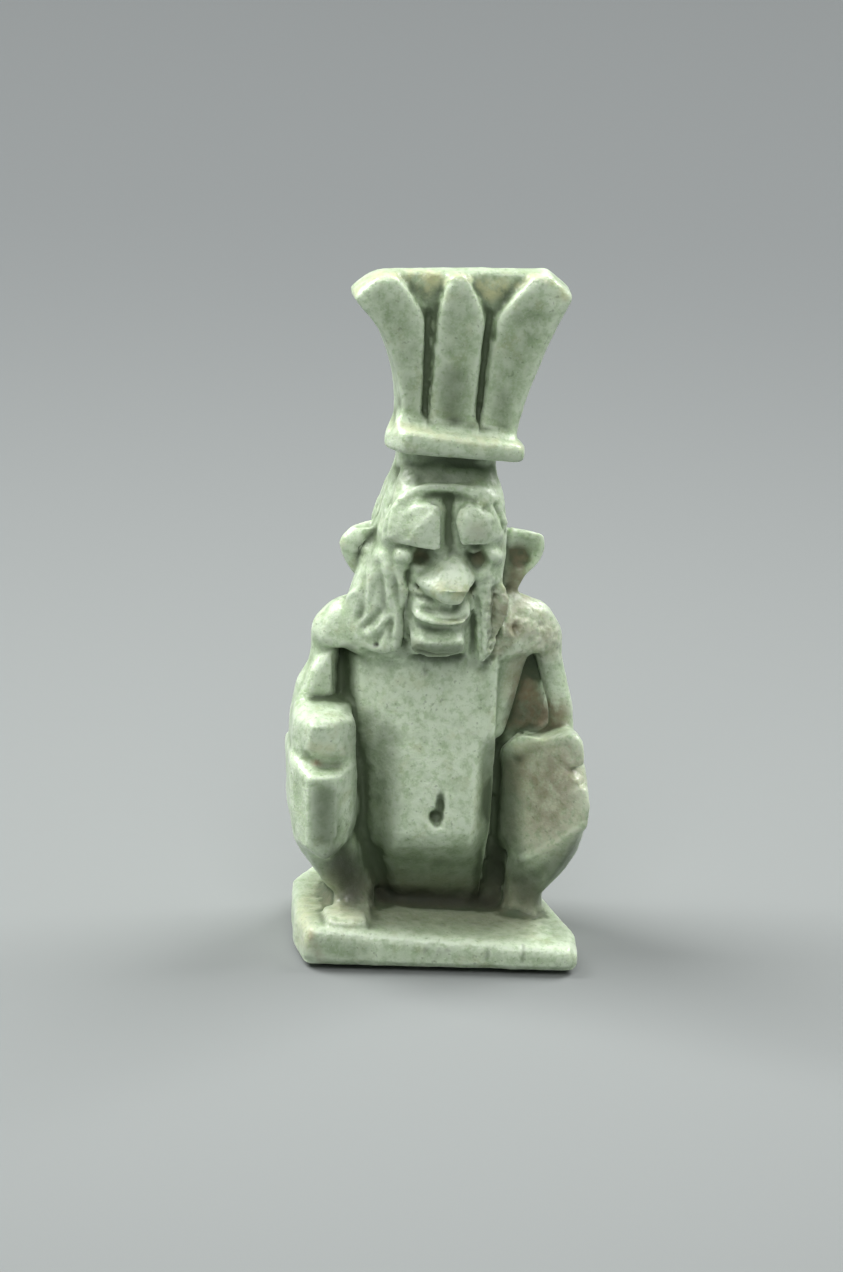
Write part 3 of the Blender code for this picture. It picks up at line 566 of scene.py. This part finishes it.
hairCuts = {
    "near lock one": (6, 0.08, (376, 560), (380, 580), (382, 600), (389, 620), (392, 642)),
    "near lock two": (6, 0.07, (393, 575), (399, 600), (405, 625), (406, 645)),
    "near ridge one": (6, -0.07, (385, 562), (388, 580), (391, 597), (398, 613), (400, 640)),
    "near gap one": (6, 0.11, (380, 608), (370, 621), (360, 629)),
    "near gap two": (5, 0.09, (388, 622), (376, 641)),
    "near lock three": (6, -0.07, (393, 613), (381, 626), (367, 635)),
    "near lock four": (6, -0.07, (396, 628), (387, 646)),
    "near outer lock": (6, 0.07, (363, 575), (363, 600), (358, 620)),
    "near outer ridge": (6, -0.06, (370, 570), (370, 600)),
    "near pit": (3, 0.12, (376, 645)),
    "far lock one": (5, -0.12, (489, 582), (486, 606), (488, 625), (484, 645), (480, 665)),
    "far gap one": (4.5, 0.12, (495, 588), (494, 615), (494, 655)),
    "far lock two": (4.5, -0.1, (502, 585), (500, 610), (501, 635)),
    "far gap two": (5, 0.12, (508, 585), (506, 600), (506, 640)),
    "behind the far cheek": (11, -0.3, (504, 592), (506, 640)),
    "far pit one": (4, 0.15, (497, 597)),
    "far pit two": (4, 0.15, (497, 612), (496, 622)),
    "far pit three": (3.5, 0.1, (488, 632)),
    "far pit four": (4, 0.12, (493, 658)),
    "far lock beside the mouth": (3.5, 0.09, (478, 598), (480, 628), (481, 655)),
    "far pit five": (3.5, 0.1, (485, 612)),
}
bodyCuts = {
    "near shoulder's edge": (5, -0.06, (331, 607), (345, 597), (357, 591)),
    "pit of the far shoulder": (9, 0.25, (515, 628)),
    "far shoulder's dent": (6, 0.06, (542, 626)),
    "far shoulder's lump": (8, -0.06, (528, 612), (545, 612)),
    "dimple": (9, 0.04, (458, 726)),
    "slit of the navel": (5.5, 0.14, (441, 794), (440, 812)),
    "pit of the navel": (9, 0.3, (436, 817)),
    "rim of the navel": (5, -0.07, (427, 824), (434, 831), (443, 829)),
    "notch of the near hand": (7, 0.06, (316, 765), (342, 766)),
    "top of the near knee": (5, -0.05, (308, 780), (330, 778), (345, 778)),
    "far notch": (6, 0.16, (588, 782), (573, 787)),
    "inside of the far hand": (9, 0.08, (514, 764), (528, 752), (543, 746), (564, 746), (575, 762)),
    "far shin's fold": (6, -0.09, (590, 822), (551, 845), (517, 860)),
    "toes": (4, 0.08, (334, 919), (362, 921)),
    "crack": (2.5, 0.04, (488, 950), (487, 959)),
    "second crack": (2.5, 0.04, (523, 945), (524, 953), (522, 962)),
    "under the far shin's fold": (14, 0.05, (582, 842), (555, 864), (530, 880)),
    "gap beside the far shin": (12, 0.35, (496, 862), (495, 892)),
}
roughPatches = {
    "near end of the moulding": (14, 0.03, (386, 430)),
    "near groove": (8, 0.008, (428, 310), (428, 415)),
    "far groove": (8, 0.008, (489, 310), (480, 415)),
    "far shoulder": (34, 0.035, (535, 622), (545, 650)),
    "far cheek": (22, 0.055, (490, 585), (492, 655)),
    "below the beard": (9, 0.025, (370, 652), (410, 660), (445, 664)),
    "belly's far edge": (5, 0.012, (495, 680), (497, 712), (494, 742), (487, 785)),
    "far ear": (14, 0.02, (525, 560), (520, 585)),
    "plate": (26, 0.012, (320, 905), (560, 920)),
    "plate's edge": (6, 0.012, (310, 932), (400, 945), (570, 952)),
    "near web": (10, 0.02, (420, 277), (430, 277)),
    "far web": (10, 0.02, (486, 284), (504, 284)),
    "armpit": (20, 0.02, (525, 690), (535, 720)),
    "brow": (30, 0.006, (400, 520), (480, 530)),
    "rims of the plumes": (6, 0.02, (352, 300), (384, 275), (402, 280), (427, 312), (422, 412)),
    "rims of the far plumes": (6, 0.02, (487, 312), (468, 278), (446, 284), (434, 312), (430, 412)),
    "rims of the last plume": (6, 0.02, (498, 308), (530, 278), (552, 280), (566, 302), (530, 370)),
}


def carve(piece):
    work = Carving(piece.data)
    for place in melts.values():
        work.melt(*place)
    work.look()
    for move in pulls.values():
        work.pull(*move)
    for push in leans.values():
        work.lean(*push)
    work.look()
    for gap in fills.values():
        work.fill(*gap)
    work.look()
    for place in lateMelts.values():
        work.melt(*place)
    work.look()
    for facet in facets.values():
        work.flatten(*facet)
    work.look()
    for region in (crownCuts, faceCuts, hairCuts, bodyCuts):
        for stroke in region.values():
            work.cut(*stroke)
    work.points = work.blur(work.points, 2)
    work.look()
    for place in lastMelts.values():
        work.melt(*place)
    work.undercut()
    work.strands()
    work.look()
    for patch in roughPatches.values():
        work.roughen(*patch)
    # The glaze lies unevenly all over, except on the underside
    raised = smoothStep(work.points[:, 2] / (0.3 * mm))
    uneven = sum(high * cloud(work.points, size, seed) for size, high, seed in amulet["unevenness"])
    work.points += work.normals * (uneven * mm * raised)[:, None]
    work.points[:, 2] = np.maximum(work.points[:, 2], 0.0)
    work.write()


def thin(piece):
    fewer = piece.modifiers.new("fewer", "DECIMATE")
    fewer.ratio = amulet["faces"] / (2 * len(piece.data.polygons))
    applyModifiers(piece)


# Colour marks: half width in pixels, strength, then the line. Each group becomes an attribute of the
# mesh. The slab is the flat front of the far knee.
marks = {
    "straw": {
        "near plume's rim": (5, 0.7, (350, 297), (366, 280), (383, 274), (399, 276)),
        "near web": (9, 1.0, (412, 276), (436, 278), (425, 288)),
        "middle plume's rim": (5, 0.6, (444, 282), (455, 275), (470, 279)),
        "far web": (9, 1.0, (483, 284), (503, 284), (490, 294)),
        "far plume's rim": (5, 0.6, (517, 286), (533, 276), (551, 280), (566, 298)),
        "moulding": (7, 0.5, (390, 424), (440, 436), (520, 446)),
        "tip of the nose": (13, 0.7, (440, 590), (462, 592)),
        "hand": (9, 0.5, (314, 748), (340, 752)),
        "far hand": (9, 0.4, (520, 748), (545, 738)),
        "toes": (10, 0.3, (330, 910), (362, 912)),
        "plate's near corner": (12, 0.4, (306, 905), (304, 940)),
    },
    "brown": {
        "far armpit": (22, 1.0, (524, 690), (532, 708), (552, 714)),
        "back of the far hand": (7, 0.9, (508, 722), (530, 720), (556, 722)),
        "slab": (34, 0.6, (535, 775), (560, 770), (545, 810)),
        "slab's lower end": (24, 0.15, (520, 825), (535, 835)),
        "far side of the beard": (14, 0.5, (497, 600), (500, 650)),
        "pit of the shoulder": (14, 0.8, (515, 628)),
        "far arm": (12, 0.4, (520, 660), (512, 690)),
        "far ear": (16, 0.7, (520, 556), (518, 580), (524, 590)),
        "far shoulder": (22, 0.3, (520, 610), (545, 640)),
        "notch of the near hand": (5, 1.0, (314, 762), (318, 763)),
        "plate's corner": (5, 0.6, (310, 934), (322, 960)),
        "plate": (30, 0.25, (330, 895), (520, 905)),
        "under the lip": (6, 0.4, (440, 625), (465, 620)),
        "behind the far cheek": (12, 0.7, (505, 595), (506, 640)),
        "near socket": (11, 0.5, (421, 556)),
        "far socket": (10, 0.5, (480, 558)),
    },
    "sand": {
        "slab": (38, 0.9, (535, 775), (560, 770), (545, 825), (560, 810)),
        "far shoulder": (26, 0.5, (520, 610), (545, 640)),
        "far arm": (14, 0.5, (520, 660), (512, 690)),
        "plate": (34, 0.6, (330, 897), (520, 910)),
        "plate's near corner": (14, 0.5, (306, 905), (304, 940)),
        "far brow": (14, 0.4, (478, 532)),
    },
    # Painted light: places made paler where light falls more, on up-turned faces, and painted highlights
    # along rims and ridges
    "paintedLight": {
        "chest": (60, 0.95, (400, 690), (450, 690), (465, 720)),
        "belly": (55, 0.55, (430, 770), (430, 800)),
        "near locks": (40, 0.35, (372, 590), (380, 625)),
        "far shoulder": (34, 0.9, (530, 610), (545, 635)),
        "far locks": (10, 0.5, (488, 590), (486, 650)),
        "near hand": (22, 0.9, (325, 730), (328, 745)),
        "slab": (36, 0.35, (535, 815), (560, 790)),
        "edge of the plate": (7, 1.0, (305, 931), (370, 937), (440, 942), (575, 951)),
        "top of the nose": (20, 1.0, (438, 572), (460, 574)),
        "moulding's upper edge": (6, 0.6, (398, 428), (430, 434), (468, 438), (526, 447)),
        "below the beard": (11, 0.6, (372, 656), (445, 664)),
        "slab's lower end": (20, 0.9, (525, 838), (560, 822)),
        "near knee's chamfer": (6, 0.9, (347, 782), (349, 832)),
        "near brow": (22, 0.7, (422, 522)),
        "ledge of the crown": (6, 0.9, (400, 424), (440, 430), (510, 438)),
        "ridge over the brows": (8, 0.6, (400, 492), (416, 484), (440, 482), (468, 487), (490, 495)),
        "far shin's fold": (4, 0.9, (588, 823), (551, 845), (518, 860)),
        "far plume's corner": (12, 0.8, (540, 288), (560, 300)),
        "near brow's corner": (8, 1.0, (433, 506), (438, 540)),
        "rim of the navel": (4, 0.9, (428, 825), (435, 830), (442, 829)),
        "near plume's edge": (3.5, 0.9, (368, 330), (389, 372), (398, 412)),
        "top of the far ear": (9, 0.8, (510, 540), (538, 542)),
        "far side of the mouth": (6, 0.8, (465, 602), (466, 642)),
        "far arm": (12, 0.8, (543, 650), (552, 700)),
        "top of the far hand": (8, 1.0, (508, 742), (530, 740), (570, 738)),
        "far side of the slab": (20, 0.8, (572, 752), (578, 800), (570, 828)),
        "near hand's inner edge": (7, 0.9, (350, 722), (352, 752)),
        "slab's lower far corner": (18, 0.8, (560, 812), (568, 838), (548, 848)),
        "plate inside the near foot": (16, 0.5, (368, 914), (388, 922)),
    },
    # Painted shade: places made darker towards the deep green where shade falls, under overhangs, in
    # recesses and on faces turned from the lamps
    "paintedShadeMarks": {
        "near plume": (26, 0.3, (390, 310), (405, 350), (410, 400)),
        "middle plume": (24, 0.3, (457, 310), (455, 360), (452, 400)),
        "far plume": (26, 0.4, (530, 315), (512, 355), (495, 400)),
        "underside of the belly": (44, 1.0, (400, 876), (440, 880), (475, 880)),
        "near side of the belly": (19, 1.0, (366, 722), (370, 778), (370, 830)),
        "far side of the belly": (20, 1.0, (497, 752), (496, 830), (497, 892)),
        "under the far shin's fold": (26, 1.0, (586, 852), (556, 876), (525, 890)),
        "near shin": (26, 1.0, (332, 868), (358, 868)),
        "face of the near knee": (17, 1.0, (324, 796), (325, 838)),
        "foot of the middle plume": (21, 0.85, (453, 378), (452, 406)),
        "foot of the far plume": (14, 0.7, (503, 395), (500, 415)),
        "foot of the near plume": (12, 0.4, (408, 380), (410, 405)),
        "under the moulding": (15, 0.9, (398, 473), (450, 476), (500, 473)),
        "slab's inner edge": (20, 1.0, (506, 760), (507, 845)),
        "back of the plate's top": (34, 0.6, (385, 910), (440, 913), (510, 916)),
        "far brow": (16, 0.2, (478, 532)),
        "beside the near arm": (11, 1.0, (348, 652), (350, 706)),
        "under the belly": (15, 1.0, (378, 896), (440, 902), (492, 904)),
        "inside of the far shin": (15, 0.9, (512, 850), (511, 896)),
        "lower part of the moulding": (8, 0.4, (402, 453), (460, 458), (522, 462)),
        "near brow's lower part": (12, 0.25, (392, 536), (412, 541)),
        "top of the crown": (8, 0.45, (370, 271), (535, 272)),
        "near side of the plate": (24, 0.45, (298, 890), (314, 916)),
        "navel": (8, 1.0, (436, 816)),
        "slit of the navel": (5, 0.9, (441, 796), (440, 810)),
        "far armpit": (26, 0.8, (532, 672), (530, 712)),
        "furrow": (8, 0.6, (448, 500), (449, 544)),
        "fold over the far shin": (12, 0.5, (570, 856), (545, 868)),
        "under the chin": (12, 0.9, (404, 648), (430, 652), (456, 651)),
        "back of the near hand": (8, 0.7, (316, 699), (348, 704)),
        "far socket": (11, 0.8, (480, 562)),
        "near chamfer of the belly": (21, 0.95, (381, 736), (383, 790), (381, 840)),
        "near side of the beard": (9, 0.6, (405, 612), (402, 640)),
        "before the near ear": (10, 0.5, (364, 545), (370, 560)),
        "below the far ear": (10, 0.6, (518, 580), (516, 598)),
        "inside the far foot": (14, 0.6, (492, 888), (500, 900)),
        "plate beside the far foot": (18, 0.5, (548, 912), (560, 925)),
        "plate's near front": (24, 0.35, (316, 948), (352, 955)),
        "far foot": (13, 0.5, (515, 903), (532, 908)),
    },
    # Dark specks, pits and cracks of the glaze, and painted shade beside and under the shins, under the
    # belly and in the far armpit
    "specksAndPaintedShade": {
        "chest": (3.5, 0.8, (425, 671)),
        "beard": (3.5, 0.9, (376, 645)),
        "plate one": (3, 0.6, (425, 950)),
        "plate two": (3, 0.6, (439, 950)),
        "plate three": (3, 0.6, (448, 950)),
        "crack": (2.2, 0.35, (488, 951), (487, 959)),
        "second crack": (2.2, 0.35, (523, 945), (524, 953), (522, 962)),
        "crown's crack": (2, 0.3, (542, 278), (542, 287)),
        "beside the far shin": (14, 0.5, (497, 850), (498, 898)),
        "under the belly": (13, 0.75, (376, 895), (440, 899), (494, 902)),
        "near shin": (20, 0.8, (342, 862), (352, 892)),
        "slab's inner edge": (12, 0.3, (507, 765), (508, 840)),
        "far armpit": (18, 0.35, (514, 712), (545, 716)),
        "under the far shin's fold": (14, 0.3, (575, 852), (548, 868)),
        "far shin": (20, 0.5, (522, 876), (530, 896)),
    },
}


# Depth under a smoothed surface: rounds of smoothing, then the millimetres that count in full
reliefs = {
    "fine": (6, 0.006),
    "broad": (40, 0.05),
    "broadest": (200, 0.22),
}


def paint(piece):
    # What the glaze needs to know at each point: how it bulges, how deep it lies, and the marks above
    work = Carving(piece.data)
    surface = work.points
    sunk = {}
    for name, (passes, full) in reliefs.items():
        surface = work.blur(surface, passes)
        sunk[name] = np.sum((surface - work.points) * work.normals, axis=1) / (full * mm)
    layers = {
        # Convex rims, to be made paler: thin worn glaze there, and painted highlight
        "edge": work.blur(smoothStep(-sunk["fine"]), 2),
        # Hollows and recesses at three sizes, to be painted darker as shade; the finest also as glaze lying
        # thicker
        "hollow": work.blur(smoothStep(sunk["fine"]), 2),
        "deep": work.blur(smoothStep(sunk["broad"]), 3),
        "broadPaintedShade": work.blur(smoothStep(sunk["broadest"]), 6),
    }
    for group, strokes in marks.items():
        layer = np.zeros(len(work.points))
        for wide, strength, *line in strokes.values():
            near, touched, _ = work.under(line, wide)
            layer[near] = np.maximum(layer[near], strength * np.sqrt(touched))
        layers[group] = work.blur(layer, 1)
    for name, layer in layers.items():
        attribute = piece.data.attributes.new(name, "FLOAT", "POINT")
        attribute.data.foreach_set("value", layer.astype(np.float32))


piece = denseCopy(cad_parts[amulet["node"]])
print("dense copy:", len(piece.data.vertices), "points")
carve(piece)
print("carved")
thin(piece)
piece.data.shade_smooth()
paint(piece)
print("thinned to", len(piece.data.polygons), "faces and marked")


# The glaze

glaze = {
    "green": (0.37, 0.50, 0.285, 1),
    "pale": (0.67, 0.775, 0.59, 1),
    "olive": (0.42, 0.47, 0.24, 1),
    # For painted shade, and for the glaze's pores
    "shadeAndPoreGreen": (0.10, 0.135, 0.075, 1),
    "straw": (0.55, 0.57, 0.32, 1),
    "sand": (0.66, 0.65, 0.48, 1),
    "brown": (0.25, 0.2, 0.115, 1),
    # Nearly black: the glaze's specks and cracks, and painted shade
    "speckAndShadeColour": (0.03, 0.03, 0.02, 1),
    "roughness": (0.32, 0.55),  # where it is smooth and where it is dull
    "coat": 0.25,
    "coatRoughness": 0.12,
    "scatter": 0.25,
    "scatterRadius": (0.8, 1.0, 0.6),
    "scatterDepth": 0.3,  # millimetres
    "bump": 0.6,
    "bumpHeight": 0.1,  # millimetres
    # Blotches: millimetres from one to the next, and their detail
    "blotches": {
        "broad": (2.2, 3.0),
        "middling": (0.5, 3.0),
        "grain": (0.11, 2.0),
        "pores": (0.16, 1.0),
        "flecks": (0.24, 3.0),
        "stains": (0.7, 4.0),
    },
}


class Wire:
    # A socket of the material, with operators that add Math nodes
    def __init__(self, tree, socket=None):
        self.tree = tree
        self.socket = socket

    def node(self, kind, settings, inputs, output=0):
        # Any node: its type, its settings, the values or links of its sockets, and the output that is wanted
        made = self.tree.nodes.new("ShaderNode" + kind)
        for name, value in settings.items():
            setattr(made, name, value)
        for name, value in inputs.items():
            if isinstance(value, Wire):
                self.tree.links.new(value.socket, made.inputs[name])
            else:
                made.inputs[name].default_value = value
        return Wire(self.tree, made.outputs[output])

    def math(self, operation, *values):
        return self.node("Math", {"operation": operation}, dict(enumerate(values)))

    def __add__(self, other):
        return self.math("ADD", self, other)

    def __sub__(self, other):
        return self.math("SUBTRACT", self, other)

    def __rsub__(self, other):
        return self.math("SUBTRACT", other, self)

    def __mul__(self, other):
        return self.math("MULTIPLY", self, other)

    __radd__ = __add__
    __rmul__ = __mul__

    def between(self, low, high):
        # 0 below low, 1 above high, a smooth step from one to the other
        settings = {"interpolation_type": "SMOOTHSTEP"}
        return self.node("MapRange", settings, {"Value": self, "From Min": low, "From Max": high})

    def mix(self, factor, one, other):
        # Sockets 6 and 7 are the two colours, and output 2 is their mixture
        settings = {"data_type": "RGBA", "clamp_factor": True}
        return self.node("Mix", settings, {0: factor, 6: one, 7: other}, 2)


def faience():
    material = bpy.data.materials.new("faience")
    material.use_nodes = True
    tree = material.node_tree
    shader = tree.nodes["Principled BSDF"]
    wire = Wire(tree)
    place = wire.node("TexCoord", {}, {}, "Object")

    def blotches(name):
        size, detail = glaze["blotches"][name]
        inputs = {"Vector": place, "Scale": 1 / (size * mm), "Detail": detail, "Roughness": 0.6}
        return wire.node("TexNoise", {}, inputs)

    def layer(name):
        return wire.node("Attribute", {"attribute_name": name}, {}, "Fac")

    broad, blotch, grain = blotches("broad"), blotches("middling"), blotches("grain")
    cloudy = broad.between(0.35, 0.65) * 0.3 + blotch.between(0.35, 0.7) * 0.45
    colour = wire.mix(cloudy, glaze["green"], glaze["pale"])
    # Paler on convex rims, where the glaze is thin and as painted highlight, and painted light from the
    # marks
    paleRimsAndPaintedLight = layer("edge") * 0.95 + layer("paintedLight") * blotch.between(0.15, 0.6)
    colour = wire.mix(paleRimsAndPaintedLight, colour, glaze["pale"])
    colour = wire.mix(layer("sand") * 0.9, colour, glaze["sand"])
    colour = wire.mix(blotches("flecks").between(0.46, 0.66) * 0.6, colour, glaze["green"])
    colour = wire.mix(blotches("stains").between(0.52, 0.72) * 0.4, colour, glaze["olive"])
    colour = wire.mix(grain.between(0.45, 0.65) * 0.4, colour, glaze["pale"])
    # Painted shade: darker towards the deep green in hollows, recesses and marked places where light falls
    # less; in the finest hollows also glaze that lies thicker
    shadeInHollows = layer("deep") * 0.45 + layer("hollow") * 0.2 + layer("broadPaintedShade") * 0.6
    paintedShade = shadeInHollows * (1 - layer("paintedLight")) + layer("paintedShadeMarks") * 0.75
    colour = wire.mix(paintedShade, colour, glaze["shadeAndPoreGreen"])
    colour = wire.mix(layer("straw") * blotch.between(0.3, 0.6), colour, glaze["straw"])
    colour = wire.mix(layer("brown") * blotch.between(0.25, 0.65), colour, glaze["brown"])
    colour = wire.mix(blotches("pores").between(0.66, 0.76) * 0.35, colour, glaze["shadeAndPoreGreen"])
    # Dark specks and cracks, and painted shade by the shins, belly and armpit
    colour = wire.mix(layer("specksAndPaintedShade"), colour, glaze["speckAndShadeColour"])
    smooth, dull = glaze["roughness"]
    matt = layer("brown") * 0.5 + blotch.between(0.45, 0.7) * 0.5 + paintedShade
    pits = {
        "Height": grain * 0.35 + blotch * 0.65,
        "Strength": glaze["bump"],
        "Distance": glaze["bumpHeight"] * mm,
    }
    tree.links.new(colour.socket, shader.inputs["Base Color"])
    tree.links.new((matt * (dull - smooth) + smooth).socket, shader.inputs["Roughness"])
    tree.links.new(((1 - paintedShade) * glaze["coat"]).socket, shader.inputs["Coat Weight"])
    tree.links.new(wire.node("Bump", {}, pits).socket, shader.inputs["Normal"])
    shader.inputs["Subsurface Weight"].default_value = glaze["scatter"]
    shader.inputs["Subsurface Radius"].default_value = glaze["scatterRadius"]
    shader.inputs["Subsurface Scale"].default_value = glaze["scatterDepth"] * mm
    shader.inputs["Coat Roughness"].default_value = glaze["coatRoughness"]
    return material


piece.data.materials.clear()
piece.data.materials.append(faience())
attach(piece, "root")
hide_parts(amulet["node"])


# Light and floor

studio = {
    # Soft boxes: place and size in millimetres, watts, colour
    "left box": ((-175, 75, 240), 170, 1.25, (1.0, 1.0, 1.0)),
    "right box": ((175, 85, 235), 170, 0.86, (1.0, 1.0, 1.0)),
    "front box": ((-30, -150, 200), 150, 0.3, (1.0, 1.0, 1.0)),
    "room": (0.95, 0.98, 1.0, 1),
    "roomStrength": 0.16,
    "lampAim": 12,  # millimetres above the floor
    # The paper's colour paints the lamps' light: painted shade darker away from the amulet, painted light
    # pale far off
    "paper": (0.224, 0.239, 0.234, 1),
    "paperInPaintedShade": (0.147, 0.158, 0.158, 1),
    "falloff": (5, 95),  # millimetres from the amulet, where the paper grows darker
    "paperInPaintedLight": (0.85, 0.87, 0.87, 1),
    "rise": (250, 900),  # millimetres from the amulet, where it grows pale
    "paperReach": 1000,  # millimetres from the amulet to the paper's edges
}


def softLight(name, place, size, power, colour):
    lamp = bpy.data.lights.new(name, "AREA")
    lamp.size = size * mm
    lamp.energy = power
    lamp.color = colour
    stand = bpy.data.objects.new(name, lamp)
    stand.location = Vector(place) * mm
    aim = stand.location - Vector((0, 0, studio["lampAim"])) * mm
    stand.rotation_euler = aim.to_track_quat("Z", "Y").to_euler()
    bpy.context.scene.collection.objects.link(stand)


placeCamera()
for box in ("left box", "right box", "front box"):
    softLight(box.replace(" ", ""), *studio[box])
world = bpy.data.worlds.new("room")
world.use_nodes = True
sky = world.node_tree.nodes["Background"]
sky.inputs["Color"].default_value = studio["room"]
sky.inputs["Strength"].default_value = studio["roomStrength"]
bpy.context.scene.world = world
bpy.context.scene.view_settings.view_transform = "Standard"

reach = studio["paperReach"] * mm
corners = [(-reach, -reach, 0), (reach, -reach, 0), (reach, reach, 0), (-reach, reach, 0)]
floorMesh = bpy.data.meshes.new("floor")
floorMesh.from_pydata(corners, [], [(0, 1, 2, 3)])
floor = bpy.data.objects.new("floor", floorMesh)
bpy.context.scene.collection.objects.link(floor)


def backdrop():
    # Paper painted darker all round, a painted shade for the lamps' falling light, and painted pale again
    # far off as painted light, where the lamps' light is gone
    material = bpy.data.materials.new("paper")
    material.use_nodes = True
    tree = material.node_tree
    shader = tree.nodes["Principled BSDF"]
    wire = Wire(tree)
    place = wire.node("TexCoord", {}, {}, "Object")
    away = wire.node("VectorMath", {"operation": "LENGTH"}, {0: place}, "Value")
    near, far = studio["falloff"]
    colour = wire.mix(away.between(near * mm, far * mm), studio["paper"], studio["paperInPaintedShade"])
    near, far = studio["rise"]
    colour = wire.mix(away.between(near * mm, far * mm), colour, studio["paperInPaintedLight"])
    tree.links.new(colour.socket, shader.inputs["Base Color"])
    shader.inputs["Roughness"].default_value = 0.9
    return material


floorMesh.materials.append(backdrop())
print("lit")
